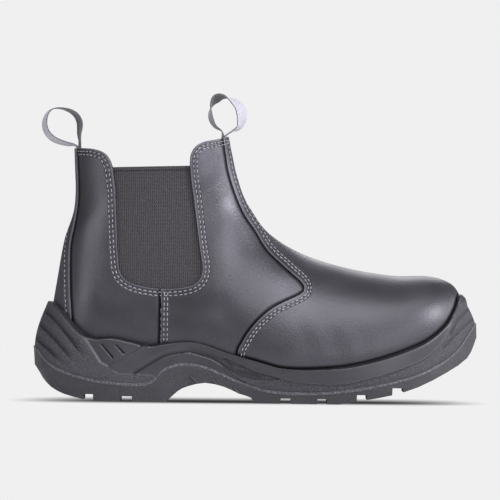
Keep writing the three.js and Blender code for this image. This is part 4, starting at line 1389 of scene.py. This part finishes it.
def make_stage():
    """A pale floor with a soft shade round the boot, as bright as the background further off."""
    material, tree, shader = new_material("pale paper", 0.9)
    position = coordinates(tree)
    tone = noise(tree, position, 6, 2)
    paper = mixed(tree, tone, paint(PAPER), paint(PAPER, 1.02))
    place_in = add_node(tree, "ShaderNodeSeparateXYZ", position).outputs
    past_middle = maths(tree, "SUBTRACT", place_in["X"], SHADE_CENTRE[0])
    leaning = maths(tree, "SUBTRACT", place_in["Y"], maths(tree, "MULTIPLY", past_middle, SHADE_LEAN))
    along = maths(tree, "DIVIDE", past_middle, SHADE_REACH[0])
    along = maths(tree, "POWER", maths(tree, "ABSOLUTE", along), 3.0)
    across = maths(tree, "DIVIDE", maths(tree, "SUBTRACT", leaning, SHADE_CENTRE[1]), SHADE_REACH[1])
    behind = maths(tree, "MULTIPLY", across, SHADE_BEHIND)
    across = maths(tree, "MAXIMUM", behind, maths(tree, "MULTIPLY", across, -1.0))
    radius = maths(tree, "SQRT", maths(tree, "ADD", maths(tree, "MULTIPLY", along, along),
                                       maths(tree, "MULTIPLY", across, across)))
    shade = ramp(tree, radius, 0.1, 1.0, 0.96, 0.0)
    feed(tree, shader.inputs["Base Color"], paper)
    shader.inputs["Specular IOR Level"].default_value = 0.0
    glow = add_node(tree, "ShaderNodeEmission",
                    mixed(tree, shade, paint(BACKGROUND), paint(PITCH_BLACK)))
    seen = tree.nodes.new("ShaderNodeLightPath").outputs["Is Camera Ray"]
    mix = add_node(tree, "ShaderNodeMixShader", seen, shader.outputs[0], glow.outputs[0])
    tree.links.new(mix.outputs[0], tree.nodes["Material Output"].inputs["Surface"])
    bm = bmesh.new()
    bmesh.ops.create_circle(bm, cap_ends=True, segments=64, radius=40)
    mesh = bpy.data.meshes.new("floor")
    bm.to_mesh(mesh)
    bm.free()
    mesh.materials.append(material)
    floor = bpy.data.objects.new("floor", mesh)
    bpy.context.scene.collection.objects.link(floor)


def add_light(name, right, up, size, power):
    """A square soft light that looks at the middle of the boot."""
    light = bpy.data.lights.new(name, "AREA")
    light.shape = "SQUARE"
    light.size = size
    light.energy = power
    light.color = COOL_WHITE
    lamp = bpy.data.objects.new(name, light)
    turn, lift = math.radians(right), math.radians(up)
    way = Vector((math.sin(turn) * math.cos(lift), -math.cos(turn) * math.cos(lift), math.sin(lift)))
    lamp.location = MIDDLE + way * LIGHT_DISTANCE
    lamp.rotation_euler = (-way).to_track_quat("-Z", "Y").to_euler()
    lamp.visible_camera = False
    bpy.context.scene.collection.objects.link(lamp)


def make_lights():
    """Soft lights all round, an even glow from everywhere and a pale backdrop."""
    world = bpy.data.worlds.new("studio")
    world.use_nodes = True
    tree = world.node_tree
    seen = tree.nodes.new("ShaderNodeLightPath").outputs["Is Camera Ray"]
    ambient = tree.nodes["Background"]
    ambient.inputs["Color"].default_value = paint(COOL_WHITE)
    ambient.inputs["Strength"].default_value = AMBIENT
    backdrop = add_node(tree, "ShaderNodeBackground", paint(BACKGROUND), 1.0)
    mix = add_node(tree, "ShaderNodeMixShader", seen, ambient.outputs[0], backdrop.outputs[0])
    tree.links.new(mix.outputs[0], tree.nodes["World Output"].inputs["Surface"])
    bpy.context.scene.world = world
    for light in LIGHTS:
        add_light(*light)


# Camera: the picture shows 0.685 mm of the boot in each of its 500 pixels
PIXEL = 0.000685
VIEW_WIDTH = 500 * PIXEL
VIEW_CENTRE = (0.0943, 0.1044)  # x and z in the middle of the picture
VIEW_DISTANCE = 8.0
VIEW_ROLL = math.radians(0.785)


def make_camera():
    camera = bpy.data.objects.new("camera", bpy.data.cameras.new("camera"))
    camera.data.sensor_width = 36
    camera.data.lens = 36 * VIEW_DISTANCE / VIEW_WIDTH
    camera.location = (VIEW_CENTRE[0], -VIEW_DISTANCE, VIEW_CENTRE[1])
    camera.rotation_euler = (Matrix.Rotation(math.radians(90), 3, "X")
                             @ Matrix.Rotation(VIEW_ROLL, 3, "Z")).to_euler()
    bpy.context.scene.collection.objects.link(camera)
    bpy.context.scene.camera = camera


def dress_insole():
    insole = bpy.data.objects["insole"]
    insole.data.materials.clear()
    insole.data.materials.append(INSOLE_CLOTH)


make_stage()
make_lights()
make_camera()
panel_trees = make_panels()
make_lining()
make_gore("outer_elastic", "gore_outer", -1)
make_gore("inner_elastic", "gore_inner", 1)
make_stitches(panel_trees)
make_tape("back_loop", "pull_loop_back", BACK_TAPE_ROWS, BACK_COLLAR, 1)
make_tape("front_loop", "pull_loop_front", FRONT_TAPE_ROWS, FRONT_COLLAR, -1)
make_cup()
make_parting_band()
make_arch_ridges(make_tread())
dress_insole()

bpy.context.scene.view_settings.view_transform = "Standard"
